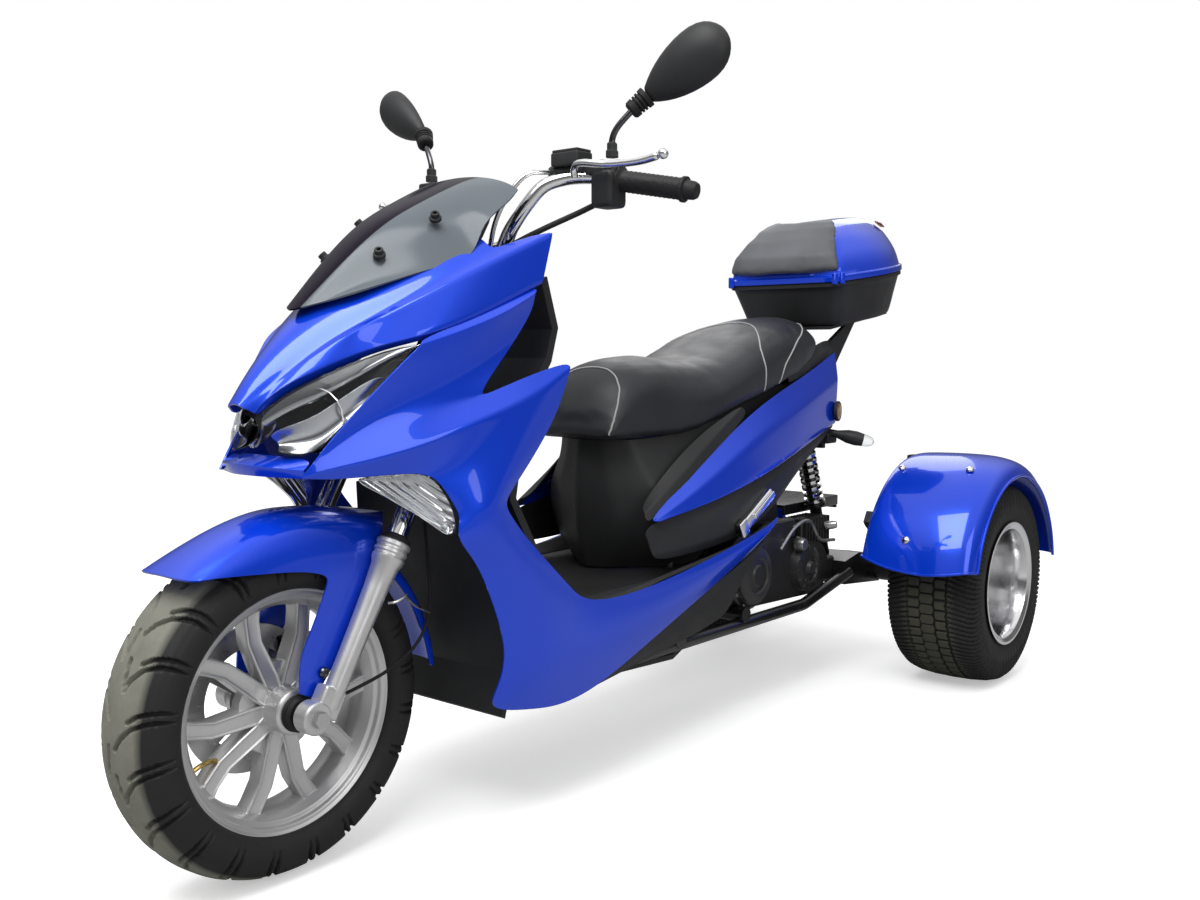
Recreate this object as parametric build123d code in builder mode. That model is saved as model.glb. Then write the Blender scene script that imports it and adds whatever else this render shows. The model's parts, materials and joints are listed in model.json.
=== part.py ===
from build123d import *
import math
import os

os.makedirs("parts", exist_ok=True)

# Motor trike: one steered wheel in front, two driven wheels on one live axle behind.
# Millimetres. It faces -Y, +X is its own left side, the ground is z = 0, and the origin lies
# on the ground in the middle of its length. Outlines on the side plane give
# (distance behind the front axle, height).

# Wheels and layout
WHEELBASE = 1630
FRONT_AXLE_Y = -836
FRONT_TYRE_W = 130
FRONT_BEAD_R = 165
FRONT_RIM_R = 177
FRONT_TYRE_H = 66
FRONT_TYRE_R = FRONT_RIM_R + FRONT_TYRE_H
FRONT_RIM_W = 94
FRONT_HUB_R = 30
FRONT_SPOKES = 5
FRONT_AXLE_R = 7
REAR_TYRE_W = 205
REAR_BEAD_R = 127
REAR_RIM_R = 140
REAR_TYRE_H = 89.5
REAR_TYRE_R = REAR_RIM_R + REAR_TYRE_H
REAR_FACE_X = 485
REAR_AXLE_R = 15
REAR_TYRE_IN = 280
REAR_HUB_R = 42
FIT = 0.3

# Fork and steering
RAKE = 30
AXLE_LEAD = 22
FORK_HALF = 95
LEG_R = 23
LEG_FOOT_R = 15
LEG_LOW = 14
LEG_TOP = 262
STANCHION_R = 15
YOKE_LOW = 405
YOKE_H = 30
STEM_R = 12
HEAD_R = 24
HEAD_LENGTH = 200
STEM_TOP = 780
DISC_R = 110
DISC_T = 4

# Handlebar
BAR_R = 11
GRIP_R = 17
GRIP_LENGTH = 125
SPRING_TURNS = 11
SPRING_PITCH = 16.4
SPRING_WIRE = 4
MIRROR_ROOT = (205, 36)
MIRROR_ARM_R = 6
MIRROR_HALF_LENGTH = 72
MIRROR_HALF_HEIGHT = 44

# Body panels
COWL_OUT = 200
COWL_T = 30
LENS_T = 14
PANEL_IN = 150
FLOOR_Z = 340
FLOOR_T = 14
FENDER_T = 4
FENDER_HALF = 77
DRAWN_FENDER_R = 276
DRAWN_AXLE_Z = 243
FENDER_GAP = 33
FENDER_R = FRONT_TYRE_R + FENDER_GAP
REAR_FENDER_GAP = 54.5
REAR_FENDER_R = REAR_TYRE_R + REAR_FENDER_GAP
REAR_FENDER_IN = 250
STAY_IN = 216
STAY_OUT = 430
REAR_FENDER_OUT = 503

# Seat and top box
SEAT_HINGE_BEHIND = 640
SEAT_HINGE_Z = 588
SEAT_PIN_R = 3
SEAT_LUG_IN = 13
SEAT_LUG_T = 9
TAIL_BEHIND = 1500
TAIL_Z = 651
BOX_TILT = 8.5
BOX_FRONT = 1440
BOX_Z = 806
BOX_WALL = 4
BOX_SPLIT = 104
LID_LIP = 14

rake = math.radians(RAKE)
tilt = math.radians(BOX_TILT)
rear_axle_y = FRONT_AXLE_Y + WHEELBASE
side = Plane(origin=(0, FRONT_AXLE_Y, 0), x_dir=(0, 1, 0), z_dir=(1, 0, 0))
front_wheel = Plane(origin=(0, FRONT_AXLE_Y, FRONT_TYRE_R), x_dir=(1, 0, 0), z_dir=(0, -1, 0))
front_axis = Axis(front_wheel.origin, (1, 0, 0))
front_spin = Plane(origin=front_wheel.origin, x_dir=(0, 1, 0), z_dir=(1, 0, 0))
rear_wheel = Plane(origin=(0, rear_axle_y, REAR_TYRE_R), x_dir=(1, 0, 0), z_dir=(0, -1, 0))
rear_axis = Axis(rear_wheel.origin, (1, 0, 0))
rear_spin = Plane(origin=rear_wheel.origin, x_dir=(0, 1, 0), z_dir=(1, 0, 0))
# Along the fork: local z runs up the legs, local y runs back and down.
fork = Plane(origin=(0, FRONT_AXLE_Y + AXLE_LEAD, FRONT_TYRE_R), x_dir=(1, 0, 0),
             z_dir=(0, math.sin(rake), math.cos(rake)))
# Top box: local y runs back and up, local z is its height.
box_plane = Plane(origin=(0, FRONT_AXLE_Y + BOX_FRONT, BOX_Z), x_dir=(1, 0, 0),
                  z_dir=(0, -math.sin(tilt), math.cos(tilt)))


def panel(points, mode=Mode.ADD):
    """Add a polygon to the sketch, with its corners where they are given."""
    Polygon(*points, align=None, mode=mode)


def place(x, behind, z):
    """A point from its distance to the left, behind the front axle and above the ground."""
    return (x, FRONT_AXLE_Y + behind, z)


def across(behind):
    """The upright plane across the vehicle, with local x to the left and local y up."""
    return Plane(origin=(0, FRONT_AXLE_Y + behind, 0), x_dir=(1, 0, 0), z_dir=(0, -1, 0))


def bent(points, radius):
    """The centre line of a bar with straight runs and rounded bends."""
    with BuildLine() as line:
        FilletPolyline(*points, radius=radius)
    return line.line


def start_of(path):
    """The plane across the first end of a centre line."""
    return Plane(origin=path @ 0, z_dir=path % 0)


def mirrored(strip):
    """The same strip on the right side, its rows in turned order so that it faces out."""
    return [[(-x, behind, z) for x, behind, z in row] for row in reversed(strip)]


def skin(strips, inner):
    """A closed solid between strips of rows of points and the points that inner gives under them."""
    outside = []
    for rows in strips:
        for row, following in zip(rows, rows[1:]):
            for a, b, c, d in zip(row, row[1:], following[1:], following):
                outside += [corners for corners in ((a, b, c), (a, c, d)) if len(set(corners)) == 3]
    faces = outside + [tuple(inner(*point) for point in reversed(corners)) for corners in outside]
    edges = [(corners[i - 1], corners[i]) for corners in outside for i in range(3)]
    for a, b in edges:
        if (b, a) not in edges:
            faces += [(b, a, inner(*a)), (b, inner(*a), inner(*b))]
    polygons = [Wire.make_polygon([place(*point) for point in corners]) for corners in faces]
    return Solid(Shell([Face(polygon) for polygon in polygons]))


# Front wheel

with BuildPart() as front_tyre:
    half = FRONT_TYRE_W / 2
    shoulder = FRONT_TYRE_R - 34
    bead = FRONT_RIM_W / 2 - 1.1
    with BuildSketch(front_wheel):
        with BuildLine():
            Polyline((0, FRONT_TYRE_R), (half * 0.42, FRONT_TYRE_R - 5), (half * 0.76, FRONT_TYRE_R - 17),
                     (half, shoulder), (half - 1, FRONT_BEAD_R + 28), (bead, FRONT_BEAD_R),
                     (bead - 10, FRONT_BEAD_R), (half - 14, shoulder - 10), (0, FRONT_TYRE_R - 14))
            mirror(about=Plane.YZ)
        make_face()
    revolve(axis=front_axis)
    for x in (-FRONT_RIM_W / 2, FRONT_RIM_W / 2):
        with BuildSketch(front_spin.offset(x - 1)):
            Circle(FRONT_RIM_R)
        extrude(amount=2, mode=Mode.SUBTRACT)
front_tyre.part.label = "front_tyre"
export_step(front_tyre.part, "parts/front_tyre.step")

with BuildPart() as front_rim:
    edge = FRONT_RIM_W / 2
    with BuildSketch(front_wheel):
        panel([(-edge, FRONT_RIM_R), (-edge, FRONT_BEAD_R - 16), (-edge + 22, FRONT_BEAD_R - 26),
               (edge - 22, FRONT_BEAD_R - 26), (edge, FRONT_BEAD_R - 16), (edge, FRONT_RIM_R),
               (edge - 1, FRONT_RIM_R), (edge - 1, FRONT_BEAD_R), (edge - 20, FRONT_BEAD_R),
               (edge - 24, FRONT_BEAD_R - 14), (24 - edge, FRONT_BEAD_R - 14), (20 - edge, FRONT_BEAD_R),
               (1 - edge, FRONT_BEAD_R), (1 - edge, FRONT_RIM_R)])
    revolve(axis=front_axis)
    with BuildSketch(front_spin.offset(-4)):
        with PolarLocations(0, FRONT_SPOKES, start_angle=90):
            panel([(16, -15), (62, -26), (96, -44), (FRONT_BEAD_R - 22, -44), (FRONT_BEAD_R - 22, -28),
                   (104, -26), (78, 0), (104, 26), (FRONT_BEAD_R - 22, 28), (FRONT_BEAD_R - 22, 44), (96, 44),
                   (62, 26), (16, 15)])
    extrude(amount=26)
    with BuildSketch(front_spin.offset(-edge)):
        Circle(FRONT_HUB_R)
    extrude(amount=2 * edge)
    with BuildSketch(front_spin.offset(-edge)):
        Circle(FRONT_AXLE_R + FIT)
    extrude(amount=2 * edge, mode=Mode.SUBTRACT)
front_rim.part.label = "front_rim"
export_step(front_rim.part, "parts/front_rim.step")

with BuildPart() as front_disc:
    with BuildSketch(front_spin.offset(-edge - 9)):
        Circle(DISC_R)
        Circle(DISC_R - 34, mode=Mode.SUBTRACT)
    extrude(amount=DISC_T)
    with BuildSketch(front_spin.offset(-edge - 9)):
        Circle(38)
        with PolarLocations(55, 5):
            Rectangle(54, 16)
        Circle(FRONT_AXLE_R + FIT, mode=Mode.SUBTRACT)
    extrude(amount=9)
front_disc.part.label = "front_disc"
export_step(front_disc.part, "parts/front_disc.step")

# Fork and what turns with it

with BuildPart() as front_axle:
    with BuildSketch(front_spin.offset(-FORK_HALF - 16)):
        Circle(FRONT_AXLE_R)
    extrude(amount=2 * FORK_HALF + 32)
    for x in (-FORK_HALF - 24, FORK_HALF + 14):
        with BuildSketch(front_spin.offset(x)):
            RegularPolygon(12, 6)
        extrude(amount=10)
front_axle.part.label = "front_axle"
export_step(front_axle.part, "parts/front_axle.step")

with BuildPart() as fork_legs:
    with BuildSketch(fork.offset(LEG_LOW)):
        with Locations((FORK_HALF, 0)):
            Circle(LEG_FOOT_R)
    with BuildSketch(fork.offset(LEG_TOP - 60)):
        with Locations((FORK_HALF, 0)):
            Circle(LEG_FOOT_R + 2)
    loft()
    with BuildSketch(fork.offset(LEG_TOP - 60)):
        with Locations((FORK_HALF, 0)):
            Circle(LEG_FOOT_R + 2)
    with BuildSketch(fork.offset(LEG_TOP - 25)):
        with Locations((FORK_HALF, 0)):
            Circle(LEG_R)
    loft()
    with BuildSketch(fork.offset(LEG_TOP - 25)):
        with Locations((FORK_HALF, 0)):
            Circle(LEG_R)
    extrude(amount=25)
    with BuildSketch(front_spin.offset(FORK_HALF - 14)):
        Circle(22)
        panel([(0, -22), (0, 22), (40, 44), (44, 10)])
    extrude(amount=28)
    with BuildSketch(front_spin.offset(FORK_HALF - 14)):
        Circle(FRONT_AXLE_R)
    extrude(amount=28, mode=Mode.SUBTRACT)
    with BuildSketch(fork.offset(LEG_TOP - 120)):
        with Locations((FORK_HALF, 0)):
            Circle(STANCHION_R - 4)
    extrude(amount=120, mode=Mode.SUBTRACT)
    mirror(about=Plane.YZ)
fork_legs.part.label = "fork_legs"
export_step(fork_legs.part, "parts/fork_legs.step")

with BuildPart() as fork_stanchions:
    with BuildSketch(fork.offset(LEG_TOP - 120)):
        with Locations((FORK_HALF, 0)):
            Circle(STANCHION_R - 4)
    extrude(amount=120)
    with BuildSketch(fork.offset(LEG_TOP)):
        with Locations((FORK_HALF, 0)):
            Circle(STANCHION_R)
    extrude(amount=YOKE_LOW + YOKE_H - LEG_TOP)
    mirror(about=Plane.YZ)
fork_stanchions.part.label = "fork_stanchions"
export_step(fork_stanchions.part, "parts/fork_stanchions.step")

with BuildPart() as fork_yoke:
    with BuildSketch(fork.offset(YOKE_LOW)):
        with Locations((-FORK_HALF, 0), (FORK_HALF, 0)):
            Circle(STANCHION_R + 9)
        Circle(STEM_R + 14)
        make_hull()
        with Locations((-FORK_HALF, 0), (FORK_HALF, 0)):
            Circle(STANCHION_R, mode=Mode.SUBTRACT)
    extrude(amount=YOKE_H)
    with BuildSketch(fork.offset(YOKE_LOW)):
        Circle(STEM_R)
    extrude(amount=STEM_TOP - YOKE_LOW)
fork_yoke.part.label = "fork_yoke"
export_step(fork_yoke.part, "parts/fork_yoke.step")

# Rows run from the middle of the fender outwards, each from its front tip backwards
FENDER_ROWS = [
    [(0, -170, 459), (0, -141, 478), (0, -72, 509), (0, -13, 525), (0, 31, 529), (0, 115, 522), (0, 207, 506)],
    [(28, -170, 458), (34, -140, 476), (36, -72, 507), (38, -13, 523), (38, 32, 527), (38, 108, 521),
     (38, 182, 508)],
    [(50, -166, 457), (56, -137, 470), (60, -71, 495), (62, -11, 508), (63, 36, 511), (63, 100, 508),
     (61, 160, 500)],
    [(62, -158, 456), (68, -133, 462), (72, -69, 473), (74, -5, 478), (75, 42, 476), (75, 96, 474),
     (74, 148, 470)],
    [(66, -150, 455), (71, -131, 456), (75, -67, 452), (76, 3, 447), (77, 46, 435), (77, 95, 434),
     (77, 144, 432)],
]
FENDER_LEG = [
    FENDER_ROWS[-1][4:],
    [(77, 47, 424), (77, 97, 420), (77, 149, 414)],
    [(77, 12, 352), (77, 56, 352), (77, 93, 352)],
    [(77, -5, 326), (77, 30, 322), (77, 68, 324)],
    [(77, -7, 275), (77, 6, 268), (77, 19, 262)],
]


def on_wheel(x, behind, z):
    """A point of the fender's rows, which are drawn for one size, on a fender of FENDER_R."""
    grown = FENDER_R / DRAWN_FENDER_R
    return (x, behind * grown, FRONT_TYRE_R + (z - DRAWN_AXLE_Z) * grown)


def under_fender(x, behind, z):
    """The fender's inner face: nearer to the wheel's axle and to the middle plane."""
    rise = z - FRONT_TYRE_R
    inward = FENDER_T / math.hypot(behind, rise)
    return (x * (1 - FENDER_T / FENDER_HALF), behind * (1 - inward), z - rise * inward)


fender_strips = [[[on_wheel(*point) for point in row] for row in strip] for strip in (FENDER_ROWS, FENDER_LEG)]
fender_skin = skin(fender_strips + [mirrored(strip) for strip in fender_strips], under_fender)
with BuildPart() as front_fender:
    # The part behind the fork follows the wheel
    lean = math.radians(35)
    with BuildSketch(Plane(origin=front_wheel.origin, x_dir=(1, 0, 0), z_dir=(0, -math.cos(lean), math.sin(lean)))):
        edge_x = FENDER_HALF - 5
        panel([(-edge_x, FENDER_R - 24), (-30, FENDER_R), (30, FENDER_R), (edge_x, FENDER_R - 24),
               (edge_x, FENDER_R - 28), (30, FENDER_R - FENDER_T), (-30, FENDER_R - FENDER_T),
               (-edge_x, FENDER_R - 28)])
    revolve(axis=front_axis, revolution_arc=-50)
    add(fender_skin)
    add(fork_legs.part, mode=Mode.SUBTRACT)
front_fender.part.label = "front_fender"
export_step(front_fender.part, "parts/front_fender.step")

# Handlebar and its controls, mirrors

stem_top = fork.offset(STEM_TOP).origin


def on_stem(x, behind, up):
    """A point from its distance to the left of, behind and above the steering stem's top."""
    return (x, stem_top.Y + behind, stem_top.Z + up)


bar_points = [(40, 30, 9.5), (165, 56, 103.5), (235, 94, 99.5), (360, 140, 82.5)]
bar_left = [on_stem(x, behind, up) for x, behind, up in bar_points]
bar_right = [on_stem(-x, behind, up) for x, behind, up in reversed(bar_points)]
bar_line = bent(bar_right + bar_left, 22)
with BuildPart() as handlebar:
    with BuildSketch(start_of(bar_line)):
        Circle(BAR_R)
    sweep(path=bar_line)
    with BuildSketch(fork.offset(STEM_TOP)):
        Circle(22)
    extrude(amount=22)
handlebar.part.label = "handlebar"
export_step(handlebar.part, "parts/handlebar.step")

grip_end = Vector(*bar_left[3])
grip_dir = (grip_end - Vector(*bar_left[2])).normalized()
grip = Plane(origin=grip_end - grip_dir * GRIP_LENGTH, x_dir=(0, 0, 1), z_dir=grip_dir)
with BuildPart() as grips:
    with BuildSketch(grip):
        Circle(GRIP_R)
        Circle(BAR_R, mode=Mode.SUBTRACT)
    extrude(amount=GRIP_LENGTH)
    with BuildSketch(grip.offset(GRIP_LENGTH)):
        Circle(13)
    extrude(amount=20, taper=8)
    mirror(about=Plane.YZ)
grips.part.label = "grips"
export_step(grips.part, "parts/grips.step")

with BuildPart() as bar_controls:
    with BuildSketch(grip.offset(-46)):
        RectangleRounded(52, 48, 12)
        Circle(BAR_R + 1, mode=Mode.SUBTRACT)
    extrude(amount=45)
    with Locations(Plane(origin=on_stem(184, 28, 133.5), x_dir=(1, 0, 0), z_dir=(0, 0, 1))):
        Box(66, 44, 24)
    with Locations(Plane(origin=on_stem(186, 43, 111.5), x_dir=(1, 0, 0), z_dir=(0, 0, 1))):
        Box(60, 22, 36)
    with BuildSketch(Plane.XY.offset(stem_top.Z + 111.5)):
        with Locations(on_stem(*MIRROR_ROOT, 0)[:2]):
            Circle(MIRROR_ARM_R)
    extrude(amount=60, mode=Mode.SUBTRACT)
    add(handlebar.part, mode=Mode.SUBTRACT)
    mirror(about=Plane.YZ)
bar_controls.part.label = "bar_controls"
export_step(bar_controls.part, "parts/bar_controls.step")

with BuildPart() as brake_levers:
    with BuildSketch(Plane.XY.offset(stem_top.Z + 121.5)):
        for x, behind, end in ((212, 24, 8), (345, 68, 5)):
            with Locations(on_stem(x, behind, 0)[:2]):
                Circle(end)
        make_hull()
        with Locations(on_stem(352, 70, 0)[:2]):
            Circle(9)
    extrude(amount=10)
    add(bar_controls.part, mode=Mode.SUBTRACT)
    mirror(about=Plane.YZ)
brake_levers.part.label = "brake_levers"
export_step(brake_levers.part, "parts/brake_levers.step")

mirror_line = bent([on_stem(*MIRROR_ROOT, 131.5), on_stem(*MIRROR_ROOT, 177.5), on_stem(236, 93, 221.5)], 16)
mirror_out = Plane(origin=mirror_line @ 1, x_dir=(0, 1, 0), z_dir=(0.62, 0.3, 0.72))
with BuildPart() as mirror_arms:
    with BuildSketch(start_of(mirror_line)):
        Circle(MIRROR_ARM_R)
    sweep(path=mirror_line)
    with BuildSketch(mirror_out):
        Circle(9)
    extrude(amount=64, taper=-10)
    mirror(about=Plane.YZ)
mirror_arms.part.label = "mirror_arms"
export_step(mirror_arms.part, "parts/mirror_arms.step")

head = Plane(origin=on_stem(330, 148, 293.5), x_dir=(0.86, 0.2, 0.47), z_dir=(-0.16, 0.95, -0.1))
with BuildPart() as mirror_heads:
    with BuildSketch(head):
        Ellipse(MIRROR_HALF_LENGTH, MIRROR_HALF_HEIGHT)
    with BuildSketch(head.offset(-20)):
        Ellipse(MIRROR_HALF_LENGTH - 10, MIRROR_HALF_HEIGHT - 8)
    with BuildSketch(head.offset(-34)):
        Ellipse(MIRROR_HALF_LENGTH - 34, MIRROR_HALF_HEIGHT - 24)
    loft()
    add(mirror_arms.part, mode=Mode.SUBTRACT)
    mirror(about=Plane.YZ)
mirror_heads.part.label = "mirror_heads"
export_step(mirror_heads.part, "parts/mirror_heads.step")

with BuildPart() as front_caliper:
    with BuildSketch(front_spin.offset(-edge - 52)):
        with Locations((78, 40)):
            Rectangle(52, 84)
    extrude(amount=60)
    with BuildSketch(front_spin.offset(-edge - 10)):
        Circle(DISC_R + 2)
    extrude(amount=11, mode=Mode.SUBTRACT)
    add(fork_legs.part, mode=Mode.SUBTRACT)
    add(front_fender.part, mode=Mode.SUBTRACT)
front_caliper.part.label = "front_caliper"
export_step(front_caliper.part, "parts/front_caliper.step")

# Frame

head_low = YOKE_LOW + YOKE_H + FIT
down_line = bent([place(0, 284, 696), place(0, 338, 560), place(0, 345, 420), place(0, 425, 214)], 60)
with BuildPart() as frame:
    with BuildSketch(start_of(down_line)):
        Circle(20)
    sweep(path=down_line)
    with BuildSketch(fork.offset(head_low - 40)):
        Circle(HEAD_R - 2)
    extrude(amount=HEAD_LENGTH + 60, mode=Mode.SUBTRACT)
    with BuildSketch(fork.offset(head_low)):
        Circle(HEAD_R)
        Circle(STEM_R + FIT, mode=Mode.SUBTRACT)
    extrude(amount=HEAD_LENGTH)
    with BuildSketch(side.offset(-160)):
        with Locations((425, 214)):
            Circle(14)
        with Locations((800, 206), (1030, 216)):
            Circle(16)
    extrude(amount=320)
    for flip in (1, -1):
        for points, bend in (([(146, 425, 214), (146, 560, 200), (146, 1290, 192), (160, 1475, 240)], 90),
                             ([(110, 800, 206), (110, 860, 500), (84, 1300, 560), (84, 1500, 690)], 60)):
            line = bent([place(flip * x, behind, z) for x, behind, z in points], bend)
            with BuildSketch(start_of(line)):
                Circle(13)
            sweep(path=line)
frame.part.label = "frame"
export_step(frame.part, "parts/frame.step")

# Cowl, screen and lamps

# Rows of the left half run from the nose backwards: down the middle, the bulge, the valley beside it,
# the crest out to the horn, the lip over the lamp, and the edge turned in under it.
HOOD_MIDDLE = [(0, -52, 680), (0, -40, 708), (0, 5, 763), (0, 70, 826), (0, 130, 862), (0, 230, 915),
               (0, 322, 948)]
HOOD_BULGE = [(12, -51, 678), (24, -20, 711), (40, 33, 763), (70, 97, 810), (95, 152, 840), (112, 240, 888),
              (120, 316, 926)]
HOOD_VALLEY = [(18, -47, 674), (36, -3, 711), (57, 42, 750), (86, 92, 786), (108, 153, 822), (127, 232, 862),
               (140, 316, 906), (150, 393, 934)]
HOOD_CREST = [(22, -42, 671), (50, 17, 729), (75, 48, 756), (100, 79, 779), (120, 150, 815), (140, 221, 850),
              (160, 314, 895), (170, 425, 940)]
HOOD_LIP = [(26, -36, 667), (45, -10, 700), (68, 19, 718), (98, 65, 743), (126, 121, 764), (153, 176, 776),
            (163, 285, 811), (172, 398, 860)]
HOOD_EDGE = [(22, -24, 662), (40, 2, 692), (62, 31, 710), (91, 76, 735), (118, 130, 757), (144, 180, 768),
             (153, 287, 803), (160, 394, 850)]


def under_hood(x, behind, z):
    """The hood's inner face, under and behind its outer one."""
    return (x * 0.94, behind + 6, z - 8)


SCREEN_BOLTS = [(63, 160, 889), (87, 249, 941)]
with BuildPart() as headlamps:
    for flip in (1, -1):
        a = Vector(*place(flip * 10, -37, 660))
        b = Vector(*place(flip * 150, 145, 752))
        c = Vector(*place(flip * 90, 13, 609))
        d = Vector(*place(flip * 50, -20, 609))
        face = Plane(origin=a, x_dir=b - a, z_dir=(b - a).cross(d - a) * -flip)
        corners = [face.to_local_coords(p) for p in (a, b, c, d)]
        with BuildSketch(face):
            panel([(p.X, p.Y) for p in corners])
        extrude(amount=-34)
headlamps.part.label = "headlamps"
export_step(headlamps.part, "parts/headlamps.step")

SCREEN_SECTIONS = [
    # x, then (behind, height) of the front and rear ends of the strip
    (0, (47, 808), (365, 1034)),
    (65, (95, 836), (378, 1022)),
    (135, (250, 885), (390, 988)),
]
with BuildPart() as windscreen:
    screen_right = [(-x, low, high) for x, low, high in reversed(SCREEN_SECTIONS[1:])]
    for x, low, high in screen_right + SCREEN_SECTIONS:
        with BuildSketch(side.offset(x)):
            panel([low, (low[0] - 2.4, low[1] + 3.3), (high[0] - 2.4, high[1] + 3.3), high])
    loft(ruled=True)
windscreen.part.label = "windscreen"
export_step(windscreen.part, "parts/windscreen.step")

hood_strips = [[HOOD_MIDDLE, HOOD_BULGE, HOOD_VALLEY[:7]], [HOOD_VALLEY, HOOD_CREST, HOOD_LIP, HOOD_EDGE]]
hood_skin = skin(hood_strips + [mirrored(strip) for strip in hood_strips], under_hood)
with BuildPart() as hood:
    add(hood_skin)
    for x, behind, z in SCREEN_BOLTS:
        with BuildSketch(Plane(origin=place(x, behind, z), x_dir=(1, 0, 0), z_dir=(0, -0.58, 0.81))):
            Circle(7)
            mirror(about=Plane.YZ)
        extrude(amount=-46)
    # Nothing of it stands through the screen
    for x, low, high in screen_right + SCREEN_SECTIONS:
        with BuildSketch(side.offset(x)):
            panel([low, high, (high[0] - 60, high[1] + 80), (low[0] - 60, low[1] + 80)])
    loft(ruled=True, mode=Mode.SUBTRACT)
    add(headlamps.part, mode=Mode.SUBTRACT)
hood.part.label = "hood"
export_step(hood.part, "parts/hood.step")

# Rows of the left side run from the front edge backwards: the cheek down from the groove under the hood's
# horn, the valley and ridge of the wing below it, the leg shield, and the sill along the floor.
CHEEK = [
    [(146, 168, 752), (156, 256, 780), (163, 330, 805), (168, 396, 835)],
    [(152, 160, 761), (168, 248, 788), (177, 318, 814), (176, 376, 842)],
    [(146, 131, 736), (160, 205, 757), (171, 285, 780), (170, 377, 814)],
    [(131, 87, 692), (148, 160, 712), (163, 240, 733), (167, 325, 754)],
    [(117, 40, 644), (133, 108, 668), (151, 180, 690), (169, 268, 700)],
    [(106, 6, 604), (125, 68, 634), (147, 152, 664), (169, 262, 684)],
]
TIP = (98, -13, 579)
VALLEY = [TIP, *CHEEK[-1], (185, 340, 712), (197, 428, 736)]
RIDGE = [TIP, (113, 12, 588), (148, 104, 603), (166, 150, 620), (190, 238, 651), (200, 345, 682),
         (202, 430, 726)]
UNDER = [TIP, (112, 25, 574), (138, 112, 577), (160, 162, 577)]
LEG = [
    RIDGE[3:],
    [(160, 162, 577), (186, 225, 600), (204, 310, 628), (200, 402, 655)],
    [(170, 180, 560), (191, 228, 565), (206, 285, 575), (200, 340, 585)],
    [(184, 203, 512), (198, 226, 518), (205, 252, 522), (200, 277, 525)],
    [(186, 191, 478), (200, 225, 480), (207, 262, 480), (200, 312, 480)],
    [(190, 231, 441), (204, 272, 440), (208, 315, 436), (200, 364, 432)],
    [(193, 262, 370), (206, 318, 370), (209, 372, 372), (200, 428, 376)],
    [(195, 288, 300), (207, 348, 308), (210, 410, 322), (200, 468, 338)],
]
SILL = [
    LEG[-1] + [(200, 616, 347), (200, 800, 352), (200, 1040, 356)],
    [(189, 280, 245), (205, 350, 240), (210, 400, 260), (210, 480, 278), (209, 620, 296), (206, 800, 320),
     (202, 1030, 345)],
    [(178, 255, 205), (190, 345, 190), (195, 405, 181), (199, 490, 187), (200, 616, 216), (200, 801, 262),
     (200, 995, 318)],
]
CHIN = [
    # x, then (behind, height) of the top rear, top front, bottom front and bottom rear
    (-97, (10, 602), (-8, 590), (-5, 577), (22, 577)),
    (-30, (-10, 607), (-46, 595), (-36, 579), (0, 578)),
    (30, (-10, 607), (-46, 595), (-36, 579), (0, 578)),
    (97, (10, 602), (-8, 590), (-5, 577), (22, 577)),
]


def under_cowl(x, behind, z):
    """The side cowl's inner face."""
    return (x - COWL_T, behind, z)


cowl_skin = skin([CHEEK, [VALLEY, RIDGE], [RIDGE[:4], UNDER], LEG, SILL], under_cowl)
with BuildPart() as lower_cowl:
    add(cowl_skin)
    mirror(about=Plane.YZ)
    for x, *corners in CHIN:
        with BuildSketch(side.offset(x)):
            panel(corners)
    loft(ruled=True)
    add(headlamps.part, mode=Mode.SUBTRACT)
lower_cowl.part.label = "lower_cowl"
export_step(lower_cowl.part, "parts/lower_cowl.step")

# The lens hangs under the wing and in front of the leg shield; its rows share both ends
LENS_FRONT = (121, 57, 574.6)
LENS_TIP = (185.6, 190.4, 478.4)
LENS = [
    [LENS_FRONT, (138, 112, 576.5), (159.6, 161.6, 576.5), (169.6, 179.5, 559.5), (183.6, 202.4, 512), LENS_TIP],
    [LENS_FRONT, (136, 100, 566), (152, 140, 557), (165, 163, 541), (178, 190, 510), LENS_TIP],
    [LENS_FRONT, (130, 92, 556), (141, 124, 534), (153, 150, 517), (170, 172, 497), LENS_TIP],
]


def behind_lens(x, behind, z):
    """The lens's inner face."""
    return (x - LENS_T, behind, z)


lens_skin = skin([LENS], behind_lens)
with BuildPart() as front_turn_lamps:
    add(lens_skin)
    mirror(about=Plane.YZ)
front_turn_lamps.part.label = "front_turn_lamps"
export_step(front_turn_lamps.part, "parts/front_turn_lamps.step")

# Panels between the cowl and the seat

with BuildPart() as splash_guard:
    with BuildSketch(side.offset(COWL_T - COWL_OUT)):
        panel([(298, 530), (303, 420), (316, 250), (300, 186), (308, 180), (328, 250), (315, 424), (310, 532)])
    extrude(amount=2 * (COWL_OUT - COWL_T))
    add(frame.part, mode=Mode.SUBTRACT)
    add(lower_cowl.part, mode=Mode.SUBTRACT)
splash_guard.part.label = "splash_guard"
export_step(splash_guard.part, "parts/splash_guard.step")

with BuildPart() as dash_panel:
    with BuildSketch(side.offset(-148)):
        panel([(464, FLOOR_Z), (360, 520), (385, 650), (445, 735), (462, 790), (435, 872), (420, 866),
               (447, 788), (432, 741), (372, 655), (345, 518), (448, FLOOR_Z)])
    extrude(amount=296)
    add(frame.part, mode=Mode.SUBTRACT)
dash_panel.part.label = "dash_panel"
export_step(dash_panel.part, "parts/dash_panel.step")

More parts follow.
